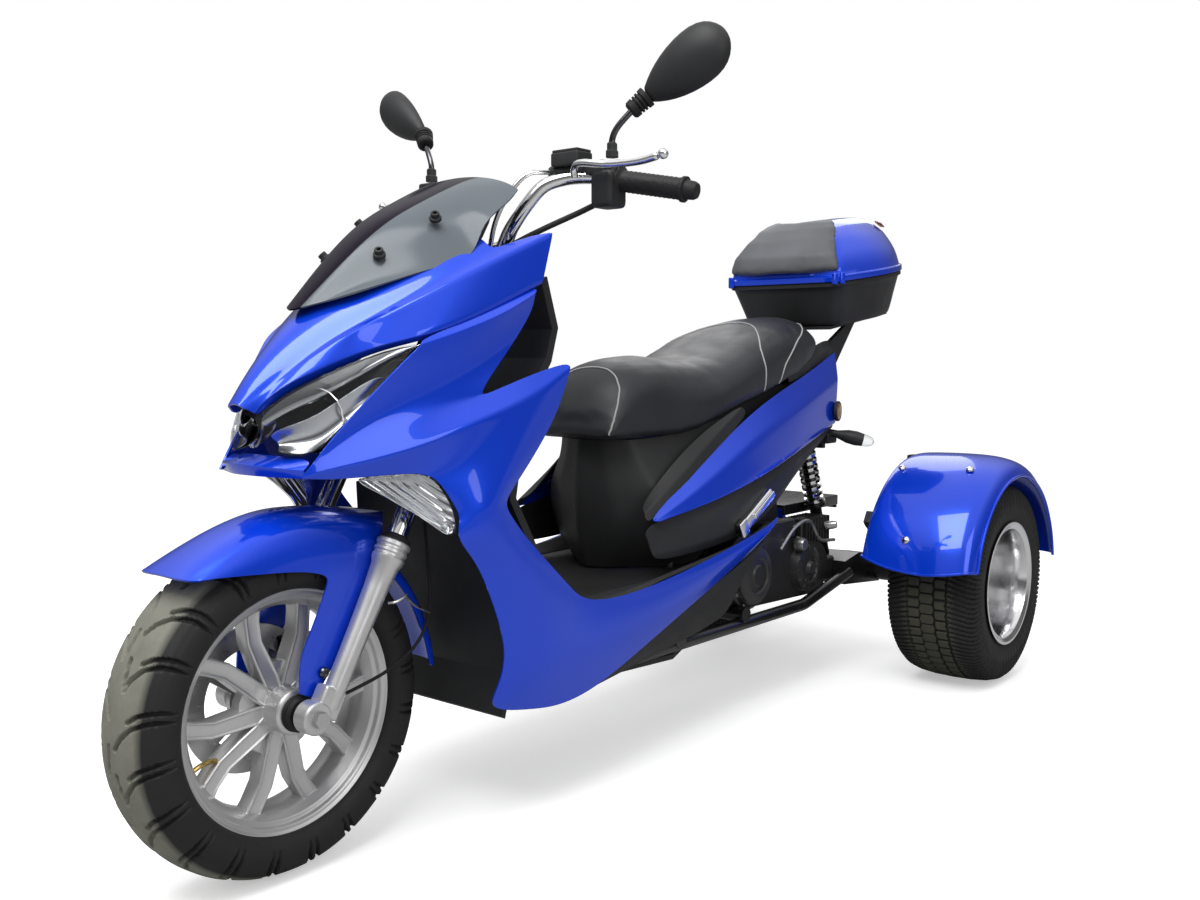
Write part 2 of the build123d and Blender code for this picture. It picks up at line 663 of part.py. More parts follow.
with BuildPart() as floorboard:
    with BuildSketch(Plane.XY.offset(FLOOR_Z)):
        floor_half = COWL_OUT - COWL_T
        panel([place(x, behind, 0)[:2] for x, behind in
               ((-floor_half, 450), (floor_half, 450), (floor_half, 960), (-floor_half, 960))])
    extrude(amount=-FLOOR_T)
    add(dash_panel.part, mode=Mode.SUBTRACT)
    add(frame.part, mode=Mode.SUBTRACT)
floorboard.part.label = "floorboard"
export_step(floorboard.part, "parts/floorboard.step")

with BuildPart() as belly_pan:
    with BuildSketch(side.offset(-140)):
        panel([(410, 190), (800, 168), (960, 232), (960, 262), (800, 178), (410, 198)])
    extrude(amount=280)
    add(frame.part, mode=Mode.SUBTRACT)
belly_pan.part.label = "belly_pan"
export_step(belly_pan.part, "parts/belly_pan.step")

COLUMN_TOP = 570
with BuildPart() as seat_column:
    with BuildSketch(Plane.XY.offset(FLOOR_Z + FIT)):
        panel([place(x, behind, 0)[:2] for x, behind in
               ((0, 745), (70, 830), (90, 960), (-90, 960), (-70, 830))])
    with BuildSketch(Plane.XY.offset(COLUMN_TOP)):
        panel([place(x, behind, 0)[:2] for x, behind in
               ((0, 662), (110, 740), (PANEL_IN - 1, 960), (1 - PANEL_IN, 960), (-110, 740))])
    loft(ruled=True)
    with BuildSketch(Plane.XY.offset(COLUMN_TOP)):
        with Locations((0, FRONT_AXLE_Y + 870)):
            Rectangle(170, 200)
    extrude(amount=-150, mode=Mode.SUBTRACT)
    with BuildSketch(side.offset(-SEAT_LUG_IN + FIT)):
        panel([(634, 590), (638, 594), (644, 594), (700, 574), (700, 560), (668, 560), (634, 584)])
        with Locations((SEAT_HINGE_BEHIND, SEAT_HINGE_Z)):
            Circle(SEAT_PIN_R + FIT, mode=Mode.SUBTRACT)
    extrude(amount=2 * (SEAT_LUG_IN - FIT))
    add(frame.part, mode=Mode.SUBTRACT)
seat_column.part.label = "seat_column"
export_step(seat_column.part, "parts/seat_column.step")

SIDE_PANEL = [
    # behind, x inside, x outside, low, high
    (672, 158, 172, 452, 460),
    (967, 152, 190, 484, 575),
    (1255, 130, 165, 545, 640),
    (1478, 95, 128, 590, 751),
]
with BuildPart() as rear_side_panels:
    for behind, inner, outer, low, high in SIDE_PANEL:
        with BuildSketch(across(behind)):
            panel([(inner, low), (outer, low + 4), (outer - 12, high - 4), (inner, high)])
    loft(ruled=True)
    mirror(about=Plane.YZ)
    add(frame.part, mode=Mode.SUBTRACT)
rear_side_panels.part.label = "rear_side_panels"
export_step(rear_side_panels.part, "parts/rear_side_panels.step")

LOWER_PANEL = [
    # behind, x inside, x outside, low, high
    (700, 154, 168, 362, 450),
    (967, 152, 186, 376, 481),
    (1130, 140, 176, 425, 514),
    (1380, 116, 138, 562, 576),
]
with BuildPart() as lower_side_panels:
    for behind, inner, outer, low, high in LOWER_PANEL:
        with BuildSketch(across(behind)):
            panel([(inner, low), (outer - 8, low), (outer, high), (inner, high)])
    loft(ruled=True)
    mirror(about=Plane.YZ)
    add(rear_side_panels.part, mode=Mode.SUBTRACT)
lower_side_panels.part.label = "lower_side_panels"
export_step(lower_side_panels.part, "parts/lower_side_panels.step")

with BuildPart() as passenger_pegs:
    with BuildSketch(side.offset(182)):
        panel([(930, 398), (960, 392), (1085, 455), (1085, 478), (1040, 470)])
    extrude(amount=22)
    add(lower_side_panels.part, mode=Mode.SUBTRACT)
    mirror(about=Plane.YZ)
passenger_pegs.part.label = "passenger_pegs"
export_step(passenger_pegs.part, "parts/passenger_pegs.step")

# Engine, exhaust and rear axle

with BuildPart() as engine:
    with BuildSketch(side.offset(-90)):
        panel([(980, 230), (1240, 215), (1300, 300), (1280, 420), (1120, 440), (1000, 360)])
    extrude(amount=170)
    add(frame.part, mode=Mode.SUBTRACT)
engine.part.label = "engine"
export_step(engine.part, "parts/engine.step")

with BuildPart() as belt_case:
    with BuildSketch(side.offset(80)):
        for behind, z, r in ((1070, 296, 78), (1370, 262, 58)):
            with Locations((behind, z)):
                Circle(r)
        make_hull()
    extrude(amount=50)
    with BuildSketch(side.offset(130)):
        with Locations((1070, 296)):
            Circle(66)
    extrude(amount=26, taper=6)
    add(frame.part, mode=Mode.SUBTRACT)
belt_case.part.label = "belt_case"
export_step(belt_case.part, "parts/belt_case.step")

with BuildPart() as axle_carrier:
    with BuildSketch(rear_spin.offset(-232)):
        Circle(30)
        Circle(REAR_AXLE_R + FIT, mode=Mode.SUBTRACT)
    extrude(amount=464)
    for flip in (1, -1):
        with BuildSketch(side.offset(flip * 84)):
            panel([(1450, 214), (1450, 268), (1520, 280), (1630, 262), (1630, 196)])
        extrude(amount=flip * 80)
    with BuildSketch(rear_spin.offset(-232)):
        Circle(REAR_AXLE_R + FIT)
    extrude(amount=464, mode=Mode.SUBTRACT)
    # Stays that carry the fenders, one up and one forward on each side
    under = REAR_FENDER_R - FENDER_T - 0.8
    for angle in (90, 34):
        lean = math.radians(angle)
        with BuildSketch(Plane(origin=rear_wheel.origin, x_dir=(1, 0, 0),
                               z_dir=(0, -math.sin(lean), -math.cos(lean)))):
            panel([(STAY_IN, 27), (STAY_IN + 10, 27), (STAY_IN + 27, under - 17), (STAY_OUT, under - 6),
                   (STAY_OUT, under), (STAY_IN + 21, under), (STAY_IN + 18, under - 17)])
            mirror(about=Plane.YZ)
        extrude(amount=14, both=True)
    add(frame.part, mode=Mode.SUBTRACT)
axle_carrier.part.label = "axle_carrier"
export_step(axle_carrier.part, "parts/axle_carrier.step")

with BuildPart() as muffler:
    with BuildSketch(across(1060)):
        with Locations((-190, 300)):
            Circle(42)
    extrude(amount=-330)
    with BuildSketch(side.offset(-190)):
        with Locations((1100, 300)):
            Circle(15)
    extrude(amount=110)
    add(engine.part, mode=Mode.SUBTRACT)
    add(frame.part, mode=Mode.SUBTRACT)
muffler.part.label = "muffler"
export_step(muffler.part, "parts/muffler.step")

shock_low = Vector(*place(84, 1496, 272))
shock_high = Vector(*place(84, 1372, 596))
shock = Plane(origin=shock_low, x_dir=(1, 0, 0), z_dir=shock_high - shock_low)
shock_length = (shock_high - shock_low).length
with BuildPart() as shock_bodies:
    with BuildSketch(shock):
        Circle(14)
    extrude(amount=shock_length)
    with BuildSketch(shock.offset(shock_length - 206)):
        Circle(26)
    extrude(amount=-8)
    with BuildSketch(shock.offset(shock_length - 28)):
        Circle(26)
    extrude(amount=12)
    mirror(about=Plane.YZ)
    add(axle_carrier.part, mode=Mode.SUBTRACT)
    add(frame.part, mode=Mode.SUBTRACT)
    add(belt_case.part, mode=Mode.SUBTRACT)
shock_bodies.part.label = "shock_bodies"
export_step(shock_bodies.part, "parts/shock_bodies.step")

with BuildPart() as shock_springs:
    for turn in range(SPRING_TURNS):
        with BuildSketch(shock.offset(shock_length - 200 + turn * SPRING_PITCH)):
            RegularPolygon(23, 12)
            RegularPolygon(15, 12, mode=Mode.SUBTRACT)
        extrude(amount=SPRING_WIRE, both=True)
    mirror(about=Plane.YZ)
shock_springs.part.label = "shock_springs"
export_step(shock_springs.part, "parts/shock_springs.step")

with BuildPart() as rear_axle:
    with BuildSketch(rear_spin.offset(-REAR_FACE_X + 60)):
        Circle(REAR_AXLE_R)
    extrude(amount=2 * REAR_FACE_X - 120)
rear_axle.part.label = "rear_axle"
export_step(rear_axle.part, "parts/rear_axle.step")

with BuildPart() as rear_rims:
    inner = REAR_FACE_X - 190
    with BuildSketch(rear_wheel):
        panel([(inner, REAR_RIM_R), (inner, REAR_BEAD_R - 6), (inner + 60, REAR_BEAD_R - 22),
               (inner + 70, REAR_AXLE_R), (inner + 84, REAR_AXLE_R), (inner + 76, REAR_BEAD_R - 26),
               (REAR_FACE_X - 20, REAR_BEAD_R - 8), (REAR_FACE_X, REAR_BEAD_R - 4), (REAR_FACE_X, REAR_RIM_R),
               (REAR_FACE_X - 3, REAR_RIM_R), (REAR_FACE_X - 3, REAR_BEAD_R), (REAR_FACE_X - 24, REAR_BEAD_R),
               (REAR_FACE_X - 30, REAR_BEAD_R - 4), (inner + 30, REAR_BEAD_R - 4), (inner + 24, REAR_BEAD_R),
               (inner + 3, REAR_BEAD_R), (inner + 3, REAR_RIM_R)])
    revolve(axis=rear_axis)
    with BuildSketch(rear_spin.offset(inner + 40)):
        Circle(REAR_HUB_R)
        Circle(REAR_AXLE_R, mode=Mode.SUBTRACT)
    extrude(amount=70)
    mirror(about=Plane.YZ)
rear_rims.part.label = "rear_rims"
export_step(rear_rims.part, "parts/rear_rims.step")

with BuildPart() as rear_tyres:
    middle = REAR_TYRE_IN + REAR_TYRE_W / 2
    half = REAR_TYRE_W / 2
    with BuildSketch(Plane(origin=(middle, rear_axle_y, REAR_TYRE_R), x_dir=(1, 0, 0), z_dir=(0, -1, 0))):
        with BuildLine():
            bead = half - 16.5
            Polyline((0, REAR_TYRE_R), (half * 0.5, REAR_TYRE_R - 5), (half - 12, REAR_TYRE_R - 22),
                     (half, REAR_TYRE_R - 60), (bead, REAR_BEAD_R), (bead - 12, REAR_BEAD_R),
                     (half - 16, REAR_TYRE_R - 50), (0, REAR_TYRE_R - 50))
            mirror(about=Plane.YZ)
        make_face()
    revolve(axis=rear_axis)
    mirror(about=Plane.YZ)
    add(rear_rims.part, mode=Mode.SUBTRACT)
rear_tyres.part.label = "rear_tyres"
export_step(rear_tyres.part, "parts/rear_tyres.step")

with BuildPart() as rear_fenders:
    low = math.radians(7)
    with BuildSketch(Plane(origin=rear_wheel.origin, x_dir=(1, 0, 0), z_dir=(0, -math.sin(low), math.cos(low)))):
        with BuildLine():
            r = REAR_FENDER_R
            Line((REAR_FENDER_IN, r), (REAR_FENDER_OUT - 34, r))
            ThreePointArc((REAR_FENDER_OUT - 34, r), (REAR_FENDER_OUT - 10, r - 10), (REAR_FENDER_OUT, r - 34))
            Line((REAR_FENDER_OUT, r - 34), (REAR_FENDER_OUT, r - 56))
            Line((REAR_FENDER_OUT, r - 56), (REAR_FENDER_OUT - FENDER_T, r - 56))
            Line((REAR_FENDER_OUT - FENDER_T, r - 56), (REAR_FENDER_OUT - FENDER_T, r - 34))
            ThreePointArc((REAR_FENDER_OUT - FENDER_T, r - 34), (REAR_FENDER_OUT - 13, r - 13),
                          (REAR_FENDER_OUT - 34, r - FENDER_T))
            Line((REAR_FENDER_OUT - 34, r - FENDER_T), (REAR_FENDER_IN, r - FENDER_T))
            Line((REAR_FENDER_IN, r - FENDER_T), (REAR_FENDER_IN, r))
        make_face()
    revolve(axis=rear_axis, revolution_arc=163)
    mirror(about=Plane.YZ)
rear_fenders.part.label = "rear_fenders"
export_step(rear_fenders.part, "parts/rear_fenders.step")

# Rear lamps, rack, seat and top box

with BuildPart() as rear_lamps:
    with BuildSketch(side.offset(82)):
        with Locations((1492, 556)):
            Ellipse(15, 9)
    extrude(amount=113)
    mirror(about=Plane.YZ)
    with Locations(place(0, TAIL_BEHIND, TAIL_Z)):
        Box(160, 50, 60)
    add(frame.part, mode=Mode.SUBTRACT)
    add(rear_side_panels.part, mode=Mode.SUBTRACT)
rear_lamps.part.label = "rear_lamps"
export_step(rear_lamps.part, "parts/rear_lamps.step")

with BuildPart() as luggage_rack:
    with BuildSketch(box_plane.offset(-8)):
        with Locations((0, 190)):
            Rectangle(200, 300)
    extrude(amount=8 - FIT)
    for flip in (1, -1):
        with BuildSketch(side.offset(flip * 84)):
            panel([(1440, 740), (1480, 680), (1510, 690), (1640, 830), (1600, 822)])
        extrude(amount=flip * -10)
    with Locations(place(0, TAIL_BEHIND - 8, TAIL_Z - 78)):
        Box(164, 14, 96)
    add(frame.part, mode=Mode.SUBTRACT)
luggage_rack.part.label = "luggage_rack"
export_step(luggage_rack.part, "parts/luggage_rack.step")

BOX_OUTLINE = [(-148, 0), (148, 0), (190, 150), (180, 260), (120, 370), (-120, 370), (-180, 260), (-190, 150)]

with BuildPart() as top_box_base:
    for height, inset in ((0, 30), (BOX_SPLIT, 0)):
        with BuildSketch(box_plane.offset(height)):
            panel(BOX_OUTLINE)
            offset(amount=-inset - 0.01, kind=Kind.INTERSECTION)
    loft(ruled=True)
    for height, inset in ((BOX_WALL, 30 + BOX_WALL), (BOX_SPLIT, BOX_WALL)):
        with BuildSketch(box_plane.offset(height)):
            panel(BOX_OUTLINE)
            offset(amount=-inset - 0.01, kind=Kind.INTERSECTION)
    loft(ruled=True, mode=Mode.SUBTRACT)
top_box_base.part.label = "top_box_base"
export_step(top_box_base.part, "parts/top_box_base.step")

LID_SECTIONS = [
    # height above the split, front setback, side inset, rear inset
    (0, -4, -4, -4),
    (LID_LIP, -2, -2, -2),
    (90, 36, 16, 14),
    (138, 96, 56, 60),
]
with BuildPart() as top_box_lid:
    for wall, mode in ((0, Mode.ADD), (BOX_WALL, Mode.SUBTRACT)):
        for height, front, sides, rear in LID_SECTIONS:
            with BuildSketch(box_plane.offset(BOX_SPLIT + FIT + height - wall * (height > LID_LIP))):
                fs, ss, rs = front + wall, sides + wall, rear + wall
                panel([(ss - 148, fs), (148 - ss, fs), (190 - ss, 150), (180 - ss, 260 - rs / 2), (120 - ss / 2, 370 - rs),
                       (ss / 2 - 120, 370 - rs), (ss - 180, 260 - rs / 2), (ss - 190, 150)])
        loft(ruled=True, mode=mode)
top_box_lid.part.label = "top_box_lid"
export_step(top_box_lid.part, "parts/top_box_lid.step")

pad_normal = (0, -0.75, 0.66)
pad_plane = Plane(origin=box_plane.from_local_coords((0, 52, BOX_SPLIT + 96)), x_dir=(1, 0, 0), z_dir=pad_normal)
with BuildPart() as backrest_pad:
    with BuildSketch(pad_plane):
        RectangleRounded(250, 110, 30)
    extrude(amount=16)
    add(top_box_lid.part, mode=Mode.SUBTRACT)
backrest_pad.part.label = "backrest_pad"
export_step(backrest_pad.part, "parts/backrest_pad.step")

SEAT_SECTIONS = [
    # behind, half width, low, high
    (622, 55, 600, 628),
    (680, 95, 590, 715),
    (760, 125, 590, 742),
    (960, 165, 592, 736),
    (1060, 168, 610, 762),
    (1230, 155, 646, 815),
    (1360, 140, 706, 830),
    (1428, 100, 745, 800),
]
with BuildPart() as seat:
    for behind, half, low, high in SEAT_SECTIONS:
        with BuildSketch(across(behind)):
            panel([(-half, low), (half, low), (half + 4, (low + high) / 2), (half - 34, high), (34 - half, high),
                   (-half - 4, (low + high) / 2)])
    loft(ruled=True)
    for x in (SEAT_LUG_IN, -SEAT_LUG_IN - SEAT_LUG_T):
        with BuildSketch(side.offset(x)):
            panel([(632, 584), (637, 581), (643, 581), (648, 584), (650, 612), (630, 612)])
        extrude(amount=SEAT_LUG_T)
    with BuildSketch(side.offset(-SEAT_LUG_IN - 1)):
        with Locations((SEAT_HINGE_BEHIND, SEAT_HINGE_Z)):
            Circle(SEAT_PIN_R)
    extrude(amount=2 * SEAT_LUG_IN + 2)
seat.part.label = "seat"
export_step(seat.part, "parts/seat.step")
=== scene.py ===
import bmesh
import bpy
import json
import math
import numpy as np
from mathutils import Matrix, Vector
from mathutils.bvhtree import BVHTree


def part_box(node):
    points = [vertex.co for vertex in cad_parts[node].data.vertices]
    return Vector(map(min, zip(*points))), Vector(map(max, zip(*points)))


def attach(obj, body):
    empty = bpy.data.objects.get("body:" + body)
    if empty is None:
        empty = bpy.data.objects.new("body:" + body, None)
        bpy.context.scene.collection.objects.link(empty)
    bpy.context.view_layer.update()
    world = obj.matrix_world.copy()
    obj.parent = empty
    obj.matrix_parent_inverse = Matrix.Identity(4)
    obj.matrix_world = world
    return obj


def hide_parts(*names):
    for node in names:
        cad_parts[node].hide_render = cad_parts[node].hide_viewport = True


# The trike's looks, in metres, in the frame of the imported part: it faces -Y, +X is its own left
# side and the ground is z = 0. Rows of points are in millimetres: (across, behind the front axle, height).
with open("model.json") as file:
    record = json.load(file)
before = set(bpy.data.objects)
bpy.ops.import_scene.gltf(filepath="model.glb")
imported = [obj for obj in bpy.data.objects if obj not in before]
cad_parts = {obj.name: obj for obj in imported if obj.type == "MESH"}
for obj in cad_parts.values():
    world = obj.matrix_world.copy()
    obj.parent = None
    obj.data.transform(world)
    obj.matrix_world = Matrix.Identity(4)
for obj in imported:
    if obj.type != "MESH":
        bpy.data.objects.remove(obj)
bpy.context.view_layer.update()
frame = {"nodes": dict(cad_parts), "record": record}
nodes = frame["nodes"]

# The axles' places, read from the frame, and how far the rear wheels' middles are from the middle plane
axle_low, axle_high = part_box("front_axle")
AXLE_Y = (axle_low.y + axle_high.y) / 2
AXLE_Z = (axle_low.z + axle_high.z) / 2
rear_low, rear_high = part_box("rear_axle")
REAR_Y = (rear_low.y + rear_high.y) / 2
REAR_Z = (rear_low.z + rear_high.z) / 2
REAR_HALF_TRACK = 0.3825

# The wheels' radii, which are the axles' heights, and the wheelbase, in millimetres
FRONT_R = AXLE_Z * 1000
REAR_R = REAR_Z * 1000
WHEELBASE = 1630


# Camera: solved from the photo on 1200 x 900 pixels

CAMERA_SIDE = 1.4055
CAMERA_AHEAD = 0.9764
CAMERA_HEIGHT = 0.7487
CAMERA_TURN = math.radians(39.12)
CAMERA_DIP = math.radians(4.75)
LENS_MM = 34.91


def make_camera():
    """The photo's camera, level, turned to look back and to the right, a little down."""
    data = bpy.data.cameras.new("camera")
    data.sensor_width = 36.0
    data.lens = LENS_MM
    back = Vector((math.sin(CAMERA_TURN) * math.cos(CAMERA_DIP),
                   -math.cos(CAMERA_TURN) * math.cos(CAMERA_DIP), math.sin(CAMERA_DIP)))
    right = Vector((0, 0, 1)).cross(back).normalized()
    up = back.cross(right)
    camera = bpy.data.objects.new("camera", data)
    camera.matrix_world = Matrix.Translation((CAMERA_SIDE, AXLE_Y - CAMERA_AHEAD, CAMERA_HEIGHT)) @ \
        Matrix((right, up, back)).transposed().to_4x4()
    bpy.context.scene.collection.objects.link(camera)
    bpy.context.scene.camera = camera


# Node helpers for the materials

def new_material(name):
    """An empty node material with its output, and its node tree."""
    material = bpy.data.materials.new(name)
    material.use_nodes = True
    tree = material.node_tree
    tree.nodes.clear()
    tree.nodes.new("ShaderNodeOutputMaterial").name = "out"
    return material, tree


def add(tree, kind, **inputs):
    """A node of that kind with its inputs set: a value is set, and a socket is linked."""
    node = tree.nodes.new("ShaderNode" + kind)
    for key, value in inputs.items():
        socket = node.inputs[int(key[1:])] if key[0] == "_" else node.inputs[key.replace("_", " ")]
        if isinstance(value, bpy.types.NodeSocket):
            tree.links.new(value, socket)
        else:
            socket.default_value = value
    return node


def ramp(tree, factor, *stops):
    """A colour ramp's output for stops of (place, grey or colour)."""
    node = tree.nodes.new("ShaderNodeValToRGB")
    tree.links.new(factor, node.inputs["Fac"])
    while len(node.color_ramp.elements) < len(stops):
        node.color_ramp.elements.new(0.5)
    for element, (position, colour) in zip(node.color_ramp.elements, stops):
        element.position = position
        element.color = (colour,) * 3 + (1,) if isinstance(colour, (int, float)) else tuple(colour) + (1,)
    return node.outputs["Color"]


def noise(tree, scale, detail=3.0, roughness=0.5):
    """Noise on the object's own coordinates, from 0 to 1."""
    return add(tree, "TexNoise", Vector=own_place(tree), Scale=scale, Detail=detail,
               Roughness=roughness).outputs["Fac"]


def own_place(tree):
    """The object's own coordinates, which are the trike's at rest."""
    return tree.nodes.new("ShaderNodeTexCoord").outputs["Object"]


def calc(tree, operation, *values):
    """A Math node's output, from sockets or numbers."""
    node = add(tree, "Math", **{f"_{k}": value for k, value in enumerate(values)})
    node.operation = operation
    return node.outputs[0]


def surface(tree, shader):
    """Joins a shader to the material's output."""
    tree.links.new(shader.outputs[0], tree.nodes["out"].inputs["Surface"])


def mix(tree, factor, a, b):
    """A colour between a and b by a factor socket."""
    node = tree.nodes.new("ShaderNodeMix")
    node.data_type = "RGBA"
    tree.links.new(factor, node.inputs["Factor"])
    for socket, value in ((node.inputs[6], a), (node.inputs[7], b)):
        if isinstance(value, bpy.types.NodeSocket):
            tree.links.new(value, socket)
        else:
            socket.default_value = tuple(value) + (1,)
    return node.outputs[2]


def principled(tree, **inputs):
    """A Principled shader joined to the output."""
    surface(tree, add(tree, "BsdfPrincipled", **inputs))


def bumped(tree, height, distance, strength=1.0, rounding=0.0):
    """A normal from a height socket, over a softened edge where rounding is given, in metres."""
    node = add(tree, "Bump", Height=height, Distance=distance, Strength=strength)
    if rounding:
        edge = tree.nodes.new("ShaderNodeBevel")
        edge.samples = 6
        edge.inputs["Radius"].default_value = rounding
        tree.links.new(edge.outputs["Normal"], node.inputs["Normal"])
    return node.outputs["Normal"]


# Materials

def paint(name, colour):
    """Glossy coloured plastic under a clear coat, with a faint ripple and dust in the light."""
    material, tree = new_material(name)
    ripple = noise(tree, 38, 2)
    tone = ramp(tree, noise(tree, 3, 4), (0.3, 0.0), (0.75, 1.0))
    base = mix(tree, tone, [c * 0.93 for c in colour], [min(1, c * 1.06) for c in colour])
    rough = ramp(tree, noise(tree, 14, 6), (0.35, 0.2), (0.8, 0.27))
    principled(tree, Base_Color=base, Roughness=rough, Metallic=0.3, Specular_Tint=(0.25, 0.5, 1.0, 1.0),
               Coat_Weight=0.9, Coat_Roughness=0.03, Normal=bumped(tree, ripple, 0.0004, 0.12, 0.0025))
    return material


def moulded(name, colour, rough=0.5, grain=900, depth=0.00022):
    """Black moulded plastic with a fine leather-like grain and paler dust."""
    material, tree = new_material(name)
    cells = add(tree, "TexVoronoi", Scale=grain, Vector=own_place(tree)).outputs["Distance"]
    tone = ramp(tree, noise(tree, 6, 5), (0.35, 0.0), (0.8, 1.0))
    base = mix(tree, tone, colour, [min(1, c * 1.5 + 0.004) for c in colour])
    roughness = ramp(tree, noise(tree, 22, 5), (0.3, rough - 0.05), (0.8, rough + 0.08))
    principled(tree, Base_Color=base, Roughness=roughness, Specular_IOR_Level=0.28,
               Normal=bumped(tree, cells, depth, 0.35, 0.0015))
    return material


def metal(name, colour, rough):
    """Bare or plated metal with a faint grain."""
    material, tree = new_material(name)
    wear = noise(tree, 60, 5, 0.6)
    roughness = ramp(tree, wear, (0.3, max(0.02, rough - 0.06)), (0.75, rough + 0.08))
    base = mix(tree, noise(tree, 9, 4), [c * 0.86 for c in colour], colour)
    principled(tree, Base_Color=base, Metallic=1.0, Roughness=roughness,
               Normal=bumped(tree, wear, 0.0001, 0.3, 0.001))
    return material


def satin(name, colour, rough, metallic, coat, grain=300, depth=0.0001):
    """Satin paint on metal, such as a frame or a wheel."""
    material, tree = new_material(name)
    speck = noise(tree, grain, 4)
    tone = ramp(tree, noise(tree, 7, 5), (0.3, 0.0), (0.8, 1.0))
    base = mix(tree, tone, [c * 0.88 for c in colour], colour)
    roughness = ramp(tree, noise(tree, 17, 5), (0.3, rough - 0.05), (0.8, rough + 0.07))
    principled(tree, Base_Color=base, Metallic=metallic, Roughness=roughness, Coat_Weight=coat,
               Coat_Roughness=0.2, Normal=bumped(tree, speck, depth, 0.25, 0.0012))
    return material


def glass(name, colour, least, tint=0.5):
    """Clear or tinted glazing, at least so solid, with a glossy skin that grows towards its edges."""
    material, tree = new_material(name)
    clear = add(tree, "BsdfTransparent", Color=tuple(colour) + (1,))
    skin = add(tree, "BsdfPrincipled", Base_Color=tuple(c * tint for c in colour) + (1,),
               Roughness=ramp(tree, noise(tree, 20, 4), (0.3, 0.02), (0.8, 0.05)),
               Coat_Weight=1.0, Coat_Roughness=0.02)
    facing = add(tree, "LayerWeight", Blend=0.25).outputs["Facing"]
    share = ramp(tree, facing, (0.0, least), (0.85, min(1.0, least + 0.55)))
    surface(tree, add(tree, "MixShader", Fac=share, _1=clear.outputs[0], _2=skin.outputs[0]))
    return material


def smoked_screen():
    """Smoked plastic that lets some light through at the sides, and a near-black band up the middle."""
    material, tree = new_material("smoke_glass")
    place = add(tree, "SeparateXYZ", Vector=own_place(tree))
    band = add(tree, "MapRange", Value=place.outputs["Z"], From_Min=0.812, From_Max=1.03, To_Min=0.016,
               To_Max=0.048)
    past = calc(tree, "SUBTRACT", calc(tree, "ABSOLUTE", place.outputs["X"]), band.outputs[0])
    side = add(tree, "MapRange", Value=past, From_Min=-0.001, From_Max=0.001).outputs[0]
    worn = ramp(tree, noise(tree, 20, 4), (0.3, 0.14), (0.8, 0.2))
    slate = mix(tree, noise(tree, 5, 2), (0.11, 0.13, 0.145), (0.13, 0.15, 0.17))
    tinted = add(tree, "BsdfPrincipled", Base_Color=slate, Roughness=worn, Specular_IOR_Level=0.3)
    clear = add(tree, "BsdfTransparent", Color=(0.4, 0.42, 0.44, 1))
    smoked = add(tree, "MixShader", Fac=0.85, _1=clear.outputs[0], _2=tinted.outputs[0])
    black = mix(tree, noise(tree, 5, 2), (0.004, 0.002, 0.008), (0.007, 0.004, 0.012))
    dark = add(tree, "BsdfPrincipled", Base_Color=black, Roughness=worn, Specular_IOR_Level=0.2, IOR=1.3)
    surface(tree, add(tree, "MixShader", Fac=side, _1=dark.outputs[0], _2=smoked.outputs[0]))
    return material


def ribbed_chrome():
    """Plated plastic with fine ribs along the lamp."""
    material, tree = new_material("ribbed_chrome")
    leaning = add(tree, "Mapping", Vector=own_place(tree), Rotation=(0.7, 0, 0)).outputs["Vector"]
    ribs = add(tree, "TexWave", Vector=leaning, Scale=36.0, Distortion=0.4)
    ribs.bands_direction = "Z"
    principled(tree, Base_Color=(0.82, 0.82, 0.82, 1), Metallic=1.0,
               Roughness=ramp(tree, noise(tree, 60, 3), (0.3, 0.08), (0.8, 0.16)),
               Normal=bumped(tree, ribs.outputs["Color"], 0.003, 0.6))
    return material


BLUE = (0.002, 0.044, 0.62)
MATERIALS = {
    "blue_plastic": paint("blue_plastic", BLUE),
    "black_plastic": moulded("black_plastic", (0.017, 0.0175, 0.0185)),
    "black_rubber": moulded("black_rubber", (0.009, 0.009, 0.01), 0.62, 500, 0.0003),
    "black_paint": satin("black_paint", (0.006, 0.006, 0.007), 0.3, 0, 0.35),
    "cast_black": satin("cast_black", (0.016, 0.016, 0.017), 0.42, 0, 0.15, 700, 0.0003),
    "silver_paint": satin("silver_paint", (0.6, 0.6, 0.6), 0.36, 0.75, 0.5),
    "steel": metal("steel", (0.55, 0.55, 0.55), 0.3),
    "chrome": metal("chrome", (0.8, 0.8, 0.8), 0.06),
    "aluminium": metal("aluminium", (0.86, 0.86, 0.87), 0.16),
    "tyre": moulded("tyre", (0.016, 0.016, 0.015), 0.66, 420, 0.0004),
    "smoke_glass": smoked_screen(),
    "lamp_glass": glass("lamp_glass", (0.96, 0.97, 0.98), 0.04, 0.05),
    "red_lens": glass("red_lens", (0.5, 0.02, 0.02), 0.5),
    "seat_vinyl": moulded("seat_vinyl", (0.019, 0.02, 0.023), 0.4, 700, 0.0003),
    "welt": moulded("welt", (0.3, 0.3, 0.3), 0.5, 900, 0.0002),
    "grip": moulded("grip", (0.012, 0.012, 0.013), 0.6, 160, 0.0014),
    "amber": glass("amber", (0.75, 0.3, 0.03), 0.5),
    "brass": metal("brass", (0.6, 0.42, 0.14), 0.25),
    "dark_chrome": metal("dark_chrome", (0.12, 0.12, 0.13), 0.12),
    "grey_vinyl": moulded("grey_vinyl", (0.085, 0.09, 0.098), 0.5, 700, 0.0002),
    "ribbed_chrome": ribbed_chrome(),
}
for part in frame["record"]["subparts"]:
    piece = nodes[part["node"]].data
    piece.materials.clear()
    piece.materials.append(MATERIALS[part["material_slot"]])


# Shapes

ONE_SMOOTHING = [("SUBSURF", {"levels": 1, "render_levels": 1})]


def at(x, behind, z):
    """A point from millimetres across, behind the front axle and above the ground."""
    return Vector((x / 1000, AXLE_Y + behind / 1000, z / 1000))


